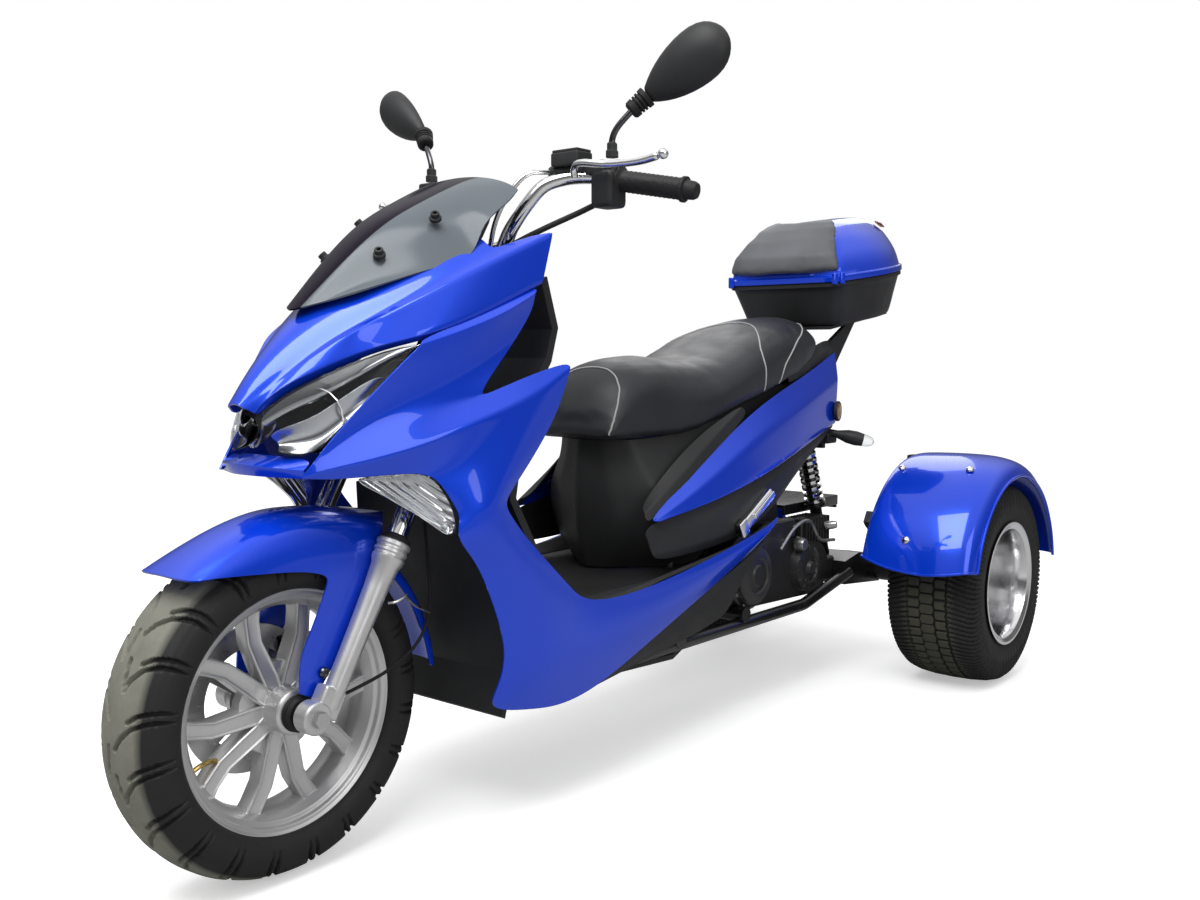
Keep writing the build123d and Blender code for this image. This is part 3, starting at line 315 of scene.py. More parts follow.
def mirrored(point):
    """The point on the other side of the trike."""
    return (-point[0], point[1], point[2])


def moved(points, x=0, behind=0, z=0):
    """The points of a row, moved."""
    return [(a + x, b + behind, c + z) for a, b, c in points]


def made(name, bm, body, replaced, material_slot, modifiers=(), sharp=35, material=None):
    """A piece from a bmesh, with its modifiers applied, on its body, with the given material or else its
    slot's material.
    """
    mesh = bpy.data.meshes.new(name)
    bm.to_mesh(mesh)
    bm.free()
    piece = bpy.data.objects.new(name, mesh)
    bpy.context.scene.collection.objects.link(piece)
    for kind, settings in modifiers:
        modifier = piece.modifiers.new(kind, kind)
        for key, value in settings.items():
            setattr(modifier, key, value)
    if modifiers:
        graph = bpy.context.evaluated_depsgraph_get()
        piece.data = bpy.data.meshes.new_from_object(piece.evaluated_get(graph))
        piece.modifiers.clear()
        piece.data.name = name
    piece.data.materials.clear()
    piece.data.materials.append(material or MATERIALS[material_slot])
    piece.data.shade_smooth()
    piece.data.set_sharp_from_angle(angle=math.radians(sharp))
    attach(piece, body)
    if replaced:
        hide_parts(*replaced)
    return piece


def cage_mesh(strips, creases, inside):
    """A bmesh from strips of rows of points, on both sides, its faces turned away from a point inside."""
    bm = bmesh.new()
    found = {}

    def vertex(point):
        key = tuple(round(c, 1) for c in point)
        if key not in found:
            found[key] = bm.verts.new(at(*point))
        return found[key]

    for side, place in enumerate((tuple, mirrored)):
        for strip in strips:
            for row, following in zip(strip, strip[1:]):
                for corners in zip(row, row[1:], following[1:], following):
                    face = list(dict.fromkeys(vertex(place(p)) for p in corners))
                    if len(face) > 2 and bm.faces.get(face) is None:
                        bm.faces.new(face[::-1] if side else face)
    layer = bm.edges.layers.float.new("crease_edge")
    for weight, line in creases:
        for place in (tuple, mirrored):
            for a, b in zip(line, line[1:]):
                edge = bm.edges.get((vertex(place(a)), vertex(place(b))))
                if edge:
                    edge[layer] = weight
    bmesh.ops.recalc_face_normals(bm, faces=bm.faces)
    centre = at(*inside)
    if sum((f.calc_center_median() - centre).dot(f.normal) * f.calc_area() for f in bm.faces) < 0:
        bmesh.ops.reverse_faces(bm, faces=bm.faces)
    return bm


def shell(name, body, replaced, material_slot, strips, creases=(), thick=3.0, levels=3,
          inside=(0, 300, 600), material=None):
    """A smoothed panel of an even thickness, over a cage of strips."""
    modifiers = [("SUBSURF", {"levels": levels, "render_levels": levels}),
                 ("SOLIDIFY", {"thickness": thick / 1000, "offset": -1})]
    return made(name, cage_mesh(strips, creases, inside), body, replaced, material_slot, modifiers,
                material=material)


# Hood and side cowls: rows run from the nose backwards

HOOD_CENTRE = [(0, -52, 680), (0, -40, 708), (0, 5, 763), (0, 70, 826), (0, 130, 862), (0, 230, 915),
               (0, 322, 948)]
HOOD_BULGE = [(12, -51, 678), (24, -20, 711), (40, 33, 763), (70, 97, 810), (95, 152, 840), (112, 240, 888),
              (120, 316, 926)]
HOOD_VALLEY = [(18, -47, 674), (36, -3, 711), (57, 42, 750), (86, 92, 786), (108, 153, 822), (127, 232, 862),
               (140, 316, 906), (150, 393, 934)]
HOOD_CREST = [(22, -42, 671), (50, 17, 729), (75, 48, 756), (100, 79, 779), (120, 150, 815), (140, 221, 850),
              (160, 314, 895), (170, 425, 940)]
HOOD_LIP = [(26, -36, 667), (45, -10, 700), (68, 19, 718), (98, 65, 743), (126, 121, 764), (153, 176, 776),
            (163, 285, 811), (172, 398, 860)]
HOOD_RETURN = [(22, -24, 662), (40, 2, 692), (62, 31, 710), (91, 76, 735), (118, 130, 757), (144, 180, 768),
               (153, 287, 803), (160, 394, 850)]

CHEEK_TOP = [(152, 160, 761), (168, 248, 788), (177, 318, 814), (176, 376, 842)]
CHEEK = [
    [(148, 160, 768), (157, 252, 799), (163, 325, 827), (168, 394, 855)],
    CHEEK_TOP,
    [(146, 131, 736), (160, 205, 757), (171, 285, 780), (170, 377, 814)],
    [(131, 87, 692), (148, 160, 712), (163, 240, 733), (167, 325, 754)],
    [(117, 40, 644), (133, 108, 668), (151, 180, 690), (169, 268, 700)],
    [(106, 6, 604), (125, 68, 634), (147, 152, 664), (169, 262, 684)],
]
TIP = (98, -13, 579)
VALLEY = [TIP, (106, 6, 604), (125, 68, 634), (147, 152, 664), (169, 262, 684), (185, 340, 712),
          (197, 428, 736)]
RIDGE = [TIP, (113, 12, 588), (148, 104, 603), (166, 150, 620), (190, 238, 651), (200, 345, 682),
         (202, 430, 726)]
UNDER = [TIP, (112, 25, 574), (138, 112, 577), (160, 162, 577)]
LEG = [
    RIDGE[3:],
    [(160, 162, 577), (186, 225, 600), (204, 310, 628), (200, 402, 655)],
    [(170, 180, 560), (191, 228, 565), (206, 285, 575), (200, 340, 585)],
    [(184, 203, 512), (198, 226, 518), (205, 252, 522), (200, 277, 525)],
    [(186, 191, 478), (200, 225, 480), (207, 262, 480), (200, 312, 480)],
    [(190, 231, 441), (204, 272, 440), (208, 315, 436), (200, 364, 432)],
    [(193, 262, 370), (206, 318, 370), (209, 372, 372), (200, 428, 376)],
    [(195, 288, 300), (207, 348, 308), (210, 410, 322), (200, 468, 338)],
]
SILL = [
    LEG[-1] + [(200, 616, 333), (200, 854, 364), (194, 1075, 403), (190, 1112, 421)],
    [(189, 280, 245), (205, 350, 240), (210, 400, 260), (210, 480, 270), (209, 608, 280), (206, 842, 334),
     (199, 1073, 394), (190, 1112, 421)],
    [(178, 255, 205), (190, 345, 190), (195, 405, 181), (199, 490, 190), (200, 600, 226), (200, 830, 304),
     (194, 1070, 383), (190, 1112, 421)],
]


def make_front_panels():
    """The hood over the headlamps, the side cowls down to the floor, and the bar between their tips."""
    shell("hood_shell", "root", ["hood"], "blue_plastic",
          [[HOOD_CENTRE, HOOD_BULGE, HOOD_VALLEY[:7]], [HOOD_VALLEY, HOOD_CREST, HOOD_LIP, HOOD_RETURN]],
          [(0.35, HOOD_BULGE), (0.25, HOOD_VALLEY), (0.6, HOOD_CREST), (0.9, HOOD_LIP)])
    shell("side_cowls", "root", ["lower_cowl"], "blue_plastic",
          [CHEEK, [VALLEY, RIDGE], [RIDGE[:4], UNDER], LEG, SILL],
          [(0.7, CHEEK_TOP), (0.3, VALLEY[3:]), (0.7, RIDGE), (0.8, [row[0] for row in CHEEK] + [TIP]),
           (0.35, LEG[3]), (0.9, [LEG[1][0], LEG[2][0], LEG[3][0], LEG[4][0]])])
    bar = [[(0, -12, 607), (30, -10, 607), (62, 0, 605), (97, 10, 602)],
           [(0, -47, 596), (30, -45, 595), (62, -28, 592), (97, -8, 590)],
           [(0, -37, 579), (30, -36, 579), (62, -20, 578), (97, -5, 577)],
           [(0, 0, 578), (30, 0, 578), (62, 10, 577), (97, 22, 577)]]
    shell("chin_bar", "root", ["lower_cowl"], "blue_plastic", [bar], [(0.6, bar[1]), (0.8, bar[2])], levels=2)


# Rows of the front fender run from its front tip backwards, and those of its leg from the fork forwards
FENDER = [
    [(0, -170, 459), (0, -141, 478), (0, -72, 509), (0, -13, 525), (0, 31, 529), (0, 115, 522),
     (0, 207, 506)],
    [(28, -170, 458), (34, -140, 476), (36, -72, 507), (38, -13, 523), (38, 32, 527), (38, 108, 521),
     (38, 182, 508)],
    [(50, -166, 457), (56, -137, 470), (60, -71, 495), (62, -11, 508), (63, 36, 511), (63, 100, 508),
     (61, 160, 500)],
    [(62, -158, 456), (68, -133, 462), (72, -69, 473), (74, -5, 478), (75, 42, 476), (75, 96, 474),
     (74, 148, 470)],
    [(66, -150, 455), (71, -131, 456), (75, -67, 452), (76, 3, 447), (77, 46, 435), (77, 95, 434),
     (77, 144, 432)],
]
FENDER_LEG = [
    FENDER[-1][4:],
    [(77, 47, 424), (77, 97, 420), (77, 149, 414)],
    [(77, 12, 352), (77, 56, 352), (77, 93, 352)],
    [(77, -5, 326), (77, 30, 322), (77, 68, 324)],
    [(77, -7, 275), (77, 6, 268), (77, 19, 262)],
]
# The radius of the part behind the fork, on its middle
FENDER_REACH = 276


def make_front_fender():
    """The fender with its legs, and the part behind the fork that follows the tyre."""
    shell("fender_shell", "steering", ["front_fender"], "blue_plastic", [FENDER, FENDER_LEG],
          [(0.9, [row[0] for row in FENDER]), (0.6, FENDER[4][:5]), (0.25, FENDER[2]),
           (0.8, [row[0] for row in FENDER_LEG]), (0.8, [row[2] for row in FENDER_LEG]),
           (0.9, FENDER_LEG[-1]), (0.8, [row[-1] for row in FENDER])], inside=(0, 0, 243))
    rows = []
    for x, drop in ((0, 0), (30, 0), (60, 12), (72, 24), (73, 34)):
        turns = [math.radians(angle) for angle in (52, 40, 26, 12, 4)]
        reach = FENDER_REACH - drop
        rows.append([(x, reach * math.cos(turn), FRONT_R + reach * math.sin(turn)) for turn in turns])
    shell("fender_rear", "steering", ["front_fender"], "blue_plastic", [rows], inside=(0, 0, 243))


# Windscreen rows run from its lower edge upwards, the first down the middle
SCREEN = [
    [(0, 42, 810), (0, 90, 857), (0, 134, 902), (0, 186, 948), (0, 234, 976), (0, 300, 1007), (0, 346, 1029),
     (0, 378, 1036)],
    [(20, 54, 815), (30, 98, 860), (36, 141, 902), (42, 193, 945), (47, 240, 972), (50, 303, 1003),
     (52, 350, 1024), (56, 383, 1033)],
    [(45, 82, 825), (58, 130, 856), (68, 172, 886), (78, 222, 922), (86, 265, 948), (88, 318, 985),
     (92, 355, 1008), (100, 390, 1022)],
    [(70, 108, 837), (85, 148, 850), (100, 190, 865), (115, 240, 880), (130, 291, 893), (126, 309, 950),
     (131, 366, 985), (124, 393, 1008)],
]


def make_windscreen():
    """The smoked screen, nearly black down its middle."""
    shell("windscreen_shell", "root", ["windscreen"], "smoke_glass", [SCREEN],
          [(0.9, SCREEN[3][4:7]), (0.7, SCREEN[3]), (0.8, [row[-1] for row in SCREEN]),
           (0.25, SCREEN[2][:6])], inside=(0, 400, 700))


# Headlamp rows run from the nose out to the eye's rear tip
LAMP_TOP = [(22, -31, 661), (45, -5, 690), (72, 25, 711), (98, 66, 733), (122, 111, 754), (147, 156, 763)]
LAMP_MIDDLE = [(36, -34, 636), (58, -14, 650), (84, 10, 660), (108, 45, 690), (129, 96, 724), (148, 156, 762)]
LAMP_LOW = [(47, -25, 610), (68, -9, 606), (91, 9, 605), (113, 38, 640), (130, 87, 690), (147, 155, 759)]
REFLECTOR_R = 0.046


def turned_mesh(profile, place, axis, segments=48):
    """A bmesh of a profile of (radius, along) turned about an axis through a place."""
    bm = bmesh.new()
    spin = Vector(axis).to_track_quat("Z", "Y").to_matrix()
    rings = []
    for radius, along in profile:
        ring = []
        for step in range(segments if radius > 1e-6 else 1):
            turn = math.tau * step / segments
            local = Vector((radius * math.cos(turn), radius * math.sin(turn), along))
            ring.append(bm.verts.new(Vector(place) + spin @ local))
        rings.append(ring)
    for ring, following in zip(rings, rings[1:]):
        for step in range(segments):
            after = (step + 1) % segments
            corners = [ring[step % len(ring)], ring[after % len(ring)], following[after % len(following)],
                       following[step % len(following)]]
            corners = list(dict.fromkeys(corners))
            if len(corners) > 2:
                bm.faces.new(corners)
    bmesh.ops.recalc_face_normals(bm, faces=bm.faces)
    return bm


def joined(name, parts, *rest, **more):
    """One piece from several bmeshes."""
    whole = bmesh.new()
    for part in parts:
        scrap = bpy.data.meshes.new("scrap")
        part.to_mesh(scrap)
        part.free()
        whole.from_mesh(scrap)
        bpy.data.meshes.remove(scrap)
    return made(name, whole, *rest, **more)


def make_headlamps():
    """Dark housings with a chrome brow, silver trays and a round reflector with its bulb, behind lenses."""
    housing = [moved(LAMP_TOP, 0, 4, -1), moved(LAMP_TOP, -8, 40, -4), moved(LAMP_LOW, -6, 40, 6),
               moved(LAMP_LOW, -1, 4, 2)]
    shell("headlamp_housings", "root", ["headlamps"], "black_plastic", [housing], levels=1, thick=1.5,
          inside=(80, -300, 650))
    brow_low = [(a[0] * 0.75 + b[0] * 0.25 + 1, a[1] * 0.75 + b[1] * 0.25 + 8, a[2] * 0.72 + b[2] * 0.28)
                for a, b in zip(LAMP_TOP, LAMP_LOW)]
    shell("headlamp_brows", "root", ["headlamps"], "chrome",
          [[moved(LAMP_TOP, 0, 5, -3), brow_low, moved(brow_low, -3, 14, 2)]], levels=2, thick=1.0)
    low, high = LAMP_LOW[:5], LAMP_MIDDLE[:5]
    deep = [((a[0] + b[0]) / 2 - 3, (a[1] + b[1]) / 2 + 32, (a[2] + b[2]) / 2) for a, b in zip(low, high)]
    shell("headlamp_trays", "root", ["headlamps"], "aluminium",
          [[moved(low, -2, 8, 4), deep, moved(high, -2, 10, -2)]], levels=2, thick=1.0)
    bowl = [(REFLECTOR_R, 0), (REFLECTOR_R * 0.97, -0.003)]
    bowl += [(REFLECTOR_R * k / 8, -0.003 - 0.034 * (1 - (k / 8) ** 2)) for k in range(8, -1, -1)]
    ends = [(at(flip * 74, 30, 655), (flip * 0.3, -0.95, 0.05)) for flip in (1, -1)]
    joined("headlamp_reflectors", [turned_mesh(bowl, *end, 18) for end in ends], "root", ["headlamps"],
           "aluminium", sharp=12)
    bulb = [(0.0, 0.001), (0.008, 0.0), (0.011, -0.006), (0.011, -0.03)]
    joined("headlamp_bulbs", [turned_mesh(bulb, *end, 24) for end in ends], "root", ["headlamps"],
           "aluminium")
    shell("headlamp_lenses", "root", ["headlamps"], "lamp_glass", [[LAMP_TOP, LAMP_MIDDLE, LAMP_LOW]],
          [(1.0, LAMP_TOP), (1.0, LAMP_LOW), (0.8, [LAMP_TOP[0], LAMP_MIDDLE[0], LAMP_LOW[0]])], thick=2.0)


# Turn lamp rows run from its front to its lower tip, under the wing
LENS_FRONT = (121, 57, 574.6)
LENS_TIP = (185.6, 190.4, 478.4)
LENS = [
    [LENS_FRONT, (138, 112, 576.5), (159.6, 161.6, 576.5), (169.6, 179.5, 559.5), (183.6, 202.4, 512),
     LENS_TIP],
    [LENS_FRONT, (136, 100, 566), (152, 140, 557), (165, 163, 541), (178, 190, 510), LENS_TIP],
    [LENS_FRONT, (130, 92, 556), (141, 124, 534), (153, 150, 517), (170, 172, 497), LENS_TIP],
]


def make_turn_lamps():
    """Clear lenses over ribbed silver bowls."""
    shell("turn_lamp_lenses", "root", ["front_turn_lamps"], "lamp_glass", [LENS],
          [(0.9, LENS[0]), (0.9, LENS[2])], thick=1.5)
    bowl = [moved(row, -6 - drop, drop / 3, 0) for row, drop in zip(LENS, (0, 14, 0))]
    shell("turn_lamp_bowls", "root", ["front_turn_lamps"], "chrome", [bowl], thick=1.0,
          material=MATERIALS["ribbed_chrome"])


# Panels between the cowl and the tail: rows run backwards

UNDER_SILL = [
    [(195, 470, 190), (197, 600, 228), (197, 744, 280), (197, 860, 312), (196, 983, 346), (191, 1062, 380)],
    [(190, 470, 188), (190, 620, 212), (190, 770, 246), (190, 872, 270), (190, 960, 300), (188, 1030, 352)],
    [(176, 480, 180), (180, 647, 202), (180, 804, 218), (180, 886, 231), (180, 937, 245), (180, 992, 318)],
]
FLOOR_EDGE = [
    [(168, 462, 341), (168, 560, 341), (168, 700, 341), (168, 854, 341), (168, 950, 341), (168, 958, 350)],
    [(188, 466, 341), (188, 560, 334), (188, 700, 352), (188, 854, 366), (186, 980, 380), (182, 1060, 402)],
    [(197, 468, 336), (197, 560, 324), (197, 700, 350), (197, 854, 362), (194, 980, 377), (188, 1070, 402)],
]
COLUMN = [
    [(0, 690, 588), (42, 706, 588), (84, 736, 588), (120, 850, 592), (140, 1020, 640)],
    [(0, 686, 545), (48, 708, 545), (98, 748, 545), (134, 850, 545), (148, 960, 560)],
    [(0, 678, 490), (68, 704, 490), (140, 758, 490), (155, 850, 490), (158, 960, 490)],
    [(0, 682, 430), (68, 712, 430), (146, 774, 430), (158, 850, 430), (160, 930, 430)],
    [(0, 692, 382), (54, 722, 382), (132, 784, 382), (152, 850, 380), (156, 900, 380)],
    [(0, 710, 344), (30, 728, 343), (104, 794, 343), (128, 850, 343), (134, 880, 343)],
]
TRIM = [
    [(132, 702, 470), (140, 790, 540), (146, 880, 596), (150, 1000, 640)],
    [(156, 688, 462), (160, 780, 512), (160, 880, 572), (157, 1010, 641)],
    [(166, 680, 440), (166, 740, 470), (164, 860, 540), (157, 1040, 626)],
]
SIDE = [
    [(165, 690, 450), (163, 800, 508), (160, 920, 570), (156, 1040, 624), (148, 1160, 664), (128, 1330, 704),
     (108, 1490, 751)],
    [(176, 692, 449), (182, 812, 490), (182, 935, 540), (176, 1050, 584), (162, 1180, 616), (140, 1340, 656),
     (118, 1488, 690)],
    [(180, 700, 447), (190, 850, 466), (190, 981, 489), (180, 1100, 512), (164, 1230, 540), (144, 1350, 564),
     (124, 1468, 588)],
    [(168, 700, 443), (176, 850, 460), (176, 981, 482), (166, 1100, 505), (152, 1230, 533), (132, 1350, 557),
     (112, 1468, 580)],
]
LOWER = [
    [(166, 690, 446), (180, 850, 464), (180, 975, 486), (170, 1100, 510), (154, 1230, 538), (136, 1350, 562),
     (118, 1464, 584)],
    [(168, 676, 424), (186, 830, 430), (190, 955, 456), (180, 1090, 482), (162, 1220, 520), (144, 1330, 548),
     (120, 1462, 582)],
    [(172, 690, 388), (176, 800, 388), (184, 960, 400), (176, 1100, 440), (158, 1220, 490), (142, 1320, 524),
     (120, 1460, 578)],
    [(168, 706, 373), (170, 800, 372), (172, 980, 380), (168, 1112, 424), (150, 1225, 478), (136, 1330, 524),
     (116, 1458, 574)],
]
TAIL_TRIM = [
    [(122, 1248, 704), (112, 1330, 740), (92, 1440, 775), (78, 1520, 782)],
    [(128, 1244, 690), (122, 1330, 716), (104, 1440, 752), (88, 1525, 762)],
    [(124, 1250, 682), (118, 1340, 704), (104, 1440, 734), (96, 1500, 752)],
]


def make_middle_panels():
    """The seat's column with its trims, the blue side panels, and the black ones below them and the sill."""
    for name, replaced, slot, rows, creases, inside in (
            ("column_cover", ["seat_column"], "black_plastic", COLUMN,
             [(0.75, [row[0] for row in COLUMN]), (0.85, [row[1] for row in COLUMN]),
              (0.8, [row[2] for row in COLUMN]), (0.9, COLUMN[0]), (0.9, COLUMN[-1])], (0, 950, 450)),
            ("column_trims", ["seat_column"], "black_plastic", TRIM, [(0.8, TRIM[1]), (0.9, TRIM[2])],
             (0, 800, 500)),
            ("side_panels", ["rear_side_panels"], "blue_plastic", SIDE,
             [(0.9, SIDE[0]), (0.55, SIDE[1]), (0.9, SIDE[2]), (0.9, [row[-1] for row in SIDE])],
             (0, 1100, 550)),
            ("lower_panels", ["lower_side_panels"], "black_plastic", LOWER,
             [(0.9, LOWER[0]), (0.7, LOWER[1]), (0.7, LOWER[2]), (0.9, LOWER[3])], (0, 1000, 450)),
            ("tail_trims", [], "black_plastic", TAIL_TRIM,
             [(0.8, TAIL_TRIM[1]), (0.9, TAIL_TRIM[2]), (0.9, [row[-1] for row in TAIL_TRIM])],
             (0, 1400, 650)),
            ("under_sills", [], "black_plastic", UNDER_SILL, [(0.7, UNDER_SILL[1])], (0, 800, 300)),
            ("floor_edges", [], "black_plastic", FLOOR_EDGE, [(0.8, FLOOR_EDGE[1])], (0, 700, 200))):
        shell(name, "root", replaced, slot, [rows], creases, inside=inside)


def rings_mesh(rings):
    """A bmesh skinned over closed rings of points, its ends closed."""
    bm = bmesh.new()
    rows = [[bm.verts.new(point) for point in ring] for ring in rings]
    count = len(rows[0])
    for row, following in zip(rows, rows[1:]):
        for step in range(count):
            after = (step + 1) % count
            bm.faces.new((row[step], row[after], following[after], following[step]))
    bm.faces.new(rows[0][::-1])
    bm.faces.new(rows[-1])
    bmesh.ops.recalc_face_normals(bm, faces=bm.faces)
    return bm


def smooth_line(points, steps=6):
    """A smooth line through points, as more points."""
    points = [Vector(point) for point in points]
    ends = [points[0] * 2 - points[1], *points, points[-1] * 2 - points[-2]]
    line = []
    for a, b, c, d in zip(ends, ends[1:], ends[2:], ends[3:]):
        for step in range(steps):
            t = step / steps
            line.append(0.5 * (2 * b + (c - a) * t + (2 * a - 5 * b + 4 * c - d) * t ** 2
                               + (3 * b - a - 3 * c + d) * t ** 3))
    return line + [points[-1]]


def tube_mesh(points, radius, sides, steps=6):
    """A bmesh of a round tube, its radius in metres, along a smooth line through points."""
    line = smooth_line(points, steps) if steps else [Vector(point) for point in points]
    along = (line[1] - line[0]).normalized()
    normal = along.orthogonal().normalized()
    rings = []
    for step, point in enumerate(line):
        ahead = (line[min(step + 1, len(line) - 1)] - line[max(step - 1, 0)]).normalized()
        normal = (along.rotation_difference(ahead) @ normal).normalized()
        along = ahead
        across = along.cross(normal)
        turns = [math.tau * k / sides for k in range(sides)]
        rings.append([point + radius * (math.cos(turn) * normal + math.sin(turn) * across) for turn in turns])
    return rings_mesh(rings)


def pipe(points, radius, sides):
    """A tube, its radius in metres, through places given in millimetres."""
    return tube_mesh([at(*point) for point in points], radius, sides)


def whole_line(half):
    """A line that starts on the middle plane, with its mirror image before it."""
    return [mirrored(point) for point in half[:0:-1]] + half


def swollen(name, bm, body, replaced, material_slot, voxel, pressure, cap):
    """A cushion: its form remeshed evenly and blown up by pressure, no point further than a cap."""
    mesh = bpy.data.meshes.new(name)
    bm.to_mesh(mesh)
    bm.free()
    piece = bpy.data.objects.new(name, mesh)
    bpy.context.scene.collection.objects.link(piece)
    remesh = piece.modifiers.new("remesh", "REMESH")
    remesh.mode = "VOXEL"
    remesh.voxel_size = voxel
    evened = bpy.data.meshes.new_from_object(piece.evaluated_get(bpy.context.evaluated_depsgraph_get()))
    piece.modifiers.clear()
    piece.data = evened
    cloth = piece.modifiers.new("cloth", "CLOTH")
    cloth.settings.use_pressure = True
    cloth.settings.uniform_pressure_force = pressure
    cloth.settings.effector_weights.gravity = 0
    cloth.collision_settings.use_collision = False
    for step in range(1, 21):
        bpy.context.scene.frame_set(step)
    blown = piece.evaluated_get(bpy.context.evaluated_depsgraph_get()).data
    moves = [after.co - before.co for after, before in zip(blown.vertices, evened.vertices)]
    piece.modifiers.clear()
    bpy.context.scene.frame_set(1)
    for vertex, move in zip(evened.vertices, moves):
        vertex.co += move * min(1.0, cap / max(move.length, 1e-9))
    smoothed = bmesh.new()
    smoothed.from_mesh(evened)
    for repeat in range(4):
        bmesh.ops.smooth_vert(smoothed, verts=smoothed.verts, factor=0.5, use_axis_x=True, use_axis_y=True,
                              use_axis_z=True)
    bpy.data.objects.remove(piece)
    piece = made(name, smoothed, body, replaced, material_slot, ONE_SMOOTHING, sharp=60)
    return piece


SEAT = [
    # behind, half width, low, high, drop of the shoulder
    (648, 84, 598, 606, 3), (655, 102, 597, 622, 8), (668, 107, 596, 650, 16), (686, 110, 595, 680, 26),
    (708, 113, 594, 702, 32), (734, 117, 594, 718, 38), (765, 123, 593, 730, 45), (805, 133, 593, 737, 55),
    (845, 142, 593, 740, 62), (900, 150, 602, 735, 58), (950, 154, 618, 731, 46), (1005, 156, 634, 738, 34),
    (1060, 156, 648, 755, 30), (1140, 152, 663, 784, 28), (1215, 146, 682, 807, 28),
    (1300, 138, 704, 822, 30), (1370, 124, 732, 828, 34), (1410, 108, 752, 822, 34), (1426, 92, 764, 808, 24),
]
PIPING = [
    [(0, 728, 730), (40, 722, 728), (82, 698, 719), (106, 672, 690), (110, 650, 640), (110, 639, 597)],
    [(0, 1236, 812), (60, 1205, 800), (100, 1160, 778), (128, 1120, 745), (146, 1116, 710), (150, 1118, 668)],
    [(0, 1400, 830), (50, 1400, 828), (100, 1340, 800), (122, 1262, 765), (136, 1205, 724), (142, 1190, 680)],
]


def make_seat():
    """The padded seat with its welts, swollen as one cushion."""
    rings = []
    for behind, half, low, high, drop in SEAT:
        side = high - drop - low
        right = [(0, high), (0.35, high - 0.08 * drop), (0.6, high - 0.28 * drop), (0.8, high - 0.6 * drop),
                 (0.93, high - drop), (1.0, high - drop - 0.3 * side), (1.0, low + 0.35 * side),
                 (0.97, low + 0.1 * side), (0.9, low), (0.5, low), (0.0, low)]
        left = [(-share, z) for share, z in right[-2:0:-1]]
        rings.append([at(share * half, behind, z) for share, z in right + left])
    seat = swollen("seat_cushion", rings_mesh(rings), "seat", ["seat"], "seat_vinyl", 0.007, 4.0, 0.006)
    skin = BVHTree.FromPolygons([v.co for v in seat.data.vertices], [p.vertices for p in seat.data.polygons])
    welts = []
    for line in PIPING:
        path = smooth_line([at(*point) for point in whole_line(line)], 8)
        found = [skin.find_nearest(point) for point in path]
        lifted = [place + normal * 0.0006 for place, normal, index, away in found]
        welts.append(tube_mesh(lifted, 0.0017, 8, 0))
    joined("seat_welts", welts, "seat", ["seat"], "grey_vinyl", material=MATERIALS["welt"])


# Top box: heights are above its floor, and lengths from its front, on the box's tilted floor
BOX_TILT = math.radians(8.5)
BOX_FRONT = 1440
BOX_Z = 806
BOX_SPLIT = 104


def on_box(x, along, up):
    """A point on the box, as (x, behind, z)."""
    return (x, BOX_FRONT + along * math.cos(BOX_TILT) - up * math.sin(BOX_TILT),
            BOX_Z + along * math.sin(BOX_TILT) + up * math.cos(BOX_TILT))


BOX_OUTLINE = [(0, 0), (100, 0), (138, 4), (152, 20), (172, 86), (187, 155), (183, 235), (162, 312),
               (122, 358), (60, 368), (0, 370)]


def box_row(up, inset, front=0.0, rear=0.0):
    """Half of the box's outline at a height, drawn in, and more so at its front or rear."""
    row = []
    for x, along in BOX_OUTLINE:
        back = along / 370
        shift = (inset + front) * max(0.0, 1 - 2.4 * back) - (inset + rear) * max(0.0, 2.4 * back - 1.4)
        row.append(on_box(x * (1 - inset / 187), along + shift, up))
    return row


LID = [(BOX_SPLIT + 1, -2, 0, 0), (BOX_SPLIT + 13, -2, 0, 0), (BOX_SPLIT + 15, 4, 0, 0),
       (BOX_SPLIT + 55, 12, 2, 0), (BOX_SPLIT + 96, 46, 6, -30), (BOX_SPLIT + 122, 80, 14, -46),
       (BOX_SPLIT + 134, 112, 22, -70)]
BACKREST = (
    # above the split, along, half width
    (20, 0, 138), (27, -2, 144), (58, 5, 138), (92, 34, 122), (116, 68, 106), (128, 92, 90), (134, 110, 72),
)


def make_box_reflectors(lid):
    """Red lenses on the lid's rear corners, swelling a little from its surface."""
    rows = []
    for high in range(5):
        row = []
        for long in range(5):
            share = 0.15 + 0.6 * high / 4
            point = Vector((0, 0, 0))
            for strip, part in ((lid[4], 1 - share), (lid[5], share)):
                point += part * Vector(strip[7]).lerp(Vector(strip[8]), 0.05 + long / 4 * 0.9)
            swell = 9 + 5 * math.sin(math.pi * high / 4) * math.sin(math.pi * long / 4)
            row.append(tuple(point + Vector((0.62, 0.35, 0.7)) * swell))
        rows.append(row)
    shell("box_reflectors", "top_box_lid", ["top_box_lid"], "red_lens", [rows], levels=1,
          inside=on_box(0, 185, BOX_SPLIT + 60))


def make_box_ears():
    """The rounded lugs at the lid's front corners."""
    ears = []
    for flip in (1, -1):
        for along, size in ((2, 11), (14, 9)):
            ear = bmesh.new()
            bmesh.ops.create_cube(ear, size=1.0)
            place = at(*on_box(flip * (136 + along), along + 2, BOX_SPLIT + 8))
            shape = Matrix.Translation(place) @ Matrix.Rotation(flip * -0.6, 4, "Z") @ \
                Matrix.Diagonal((size / 1000, 0.012, 0.026, 1))
            bmesh.ops.transform(ear, matrix=shape, verts=ear.verts)
            bmesh.ops.bevel(ear, geom=ear.edges[:] + ear.verts[:], offset=0.003, segments=3, profile=0.6,
                            affect="EDGES")
            ears.append(ear)
    joined("box_ears", ears, "top_box_lid", ["top_box_lid"], "blue_plastic")


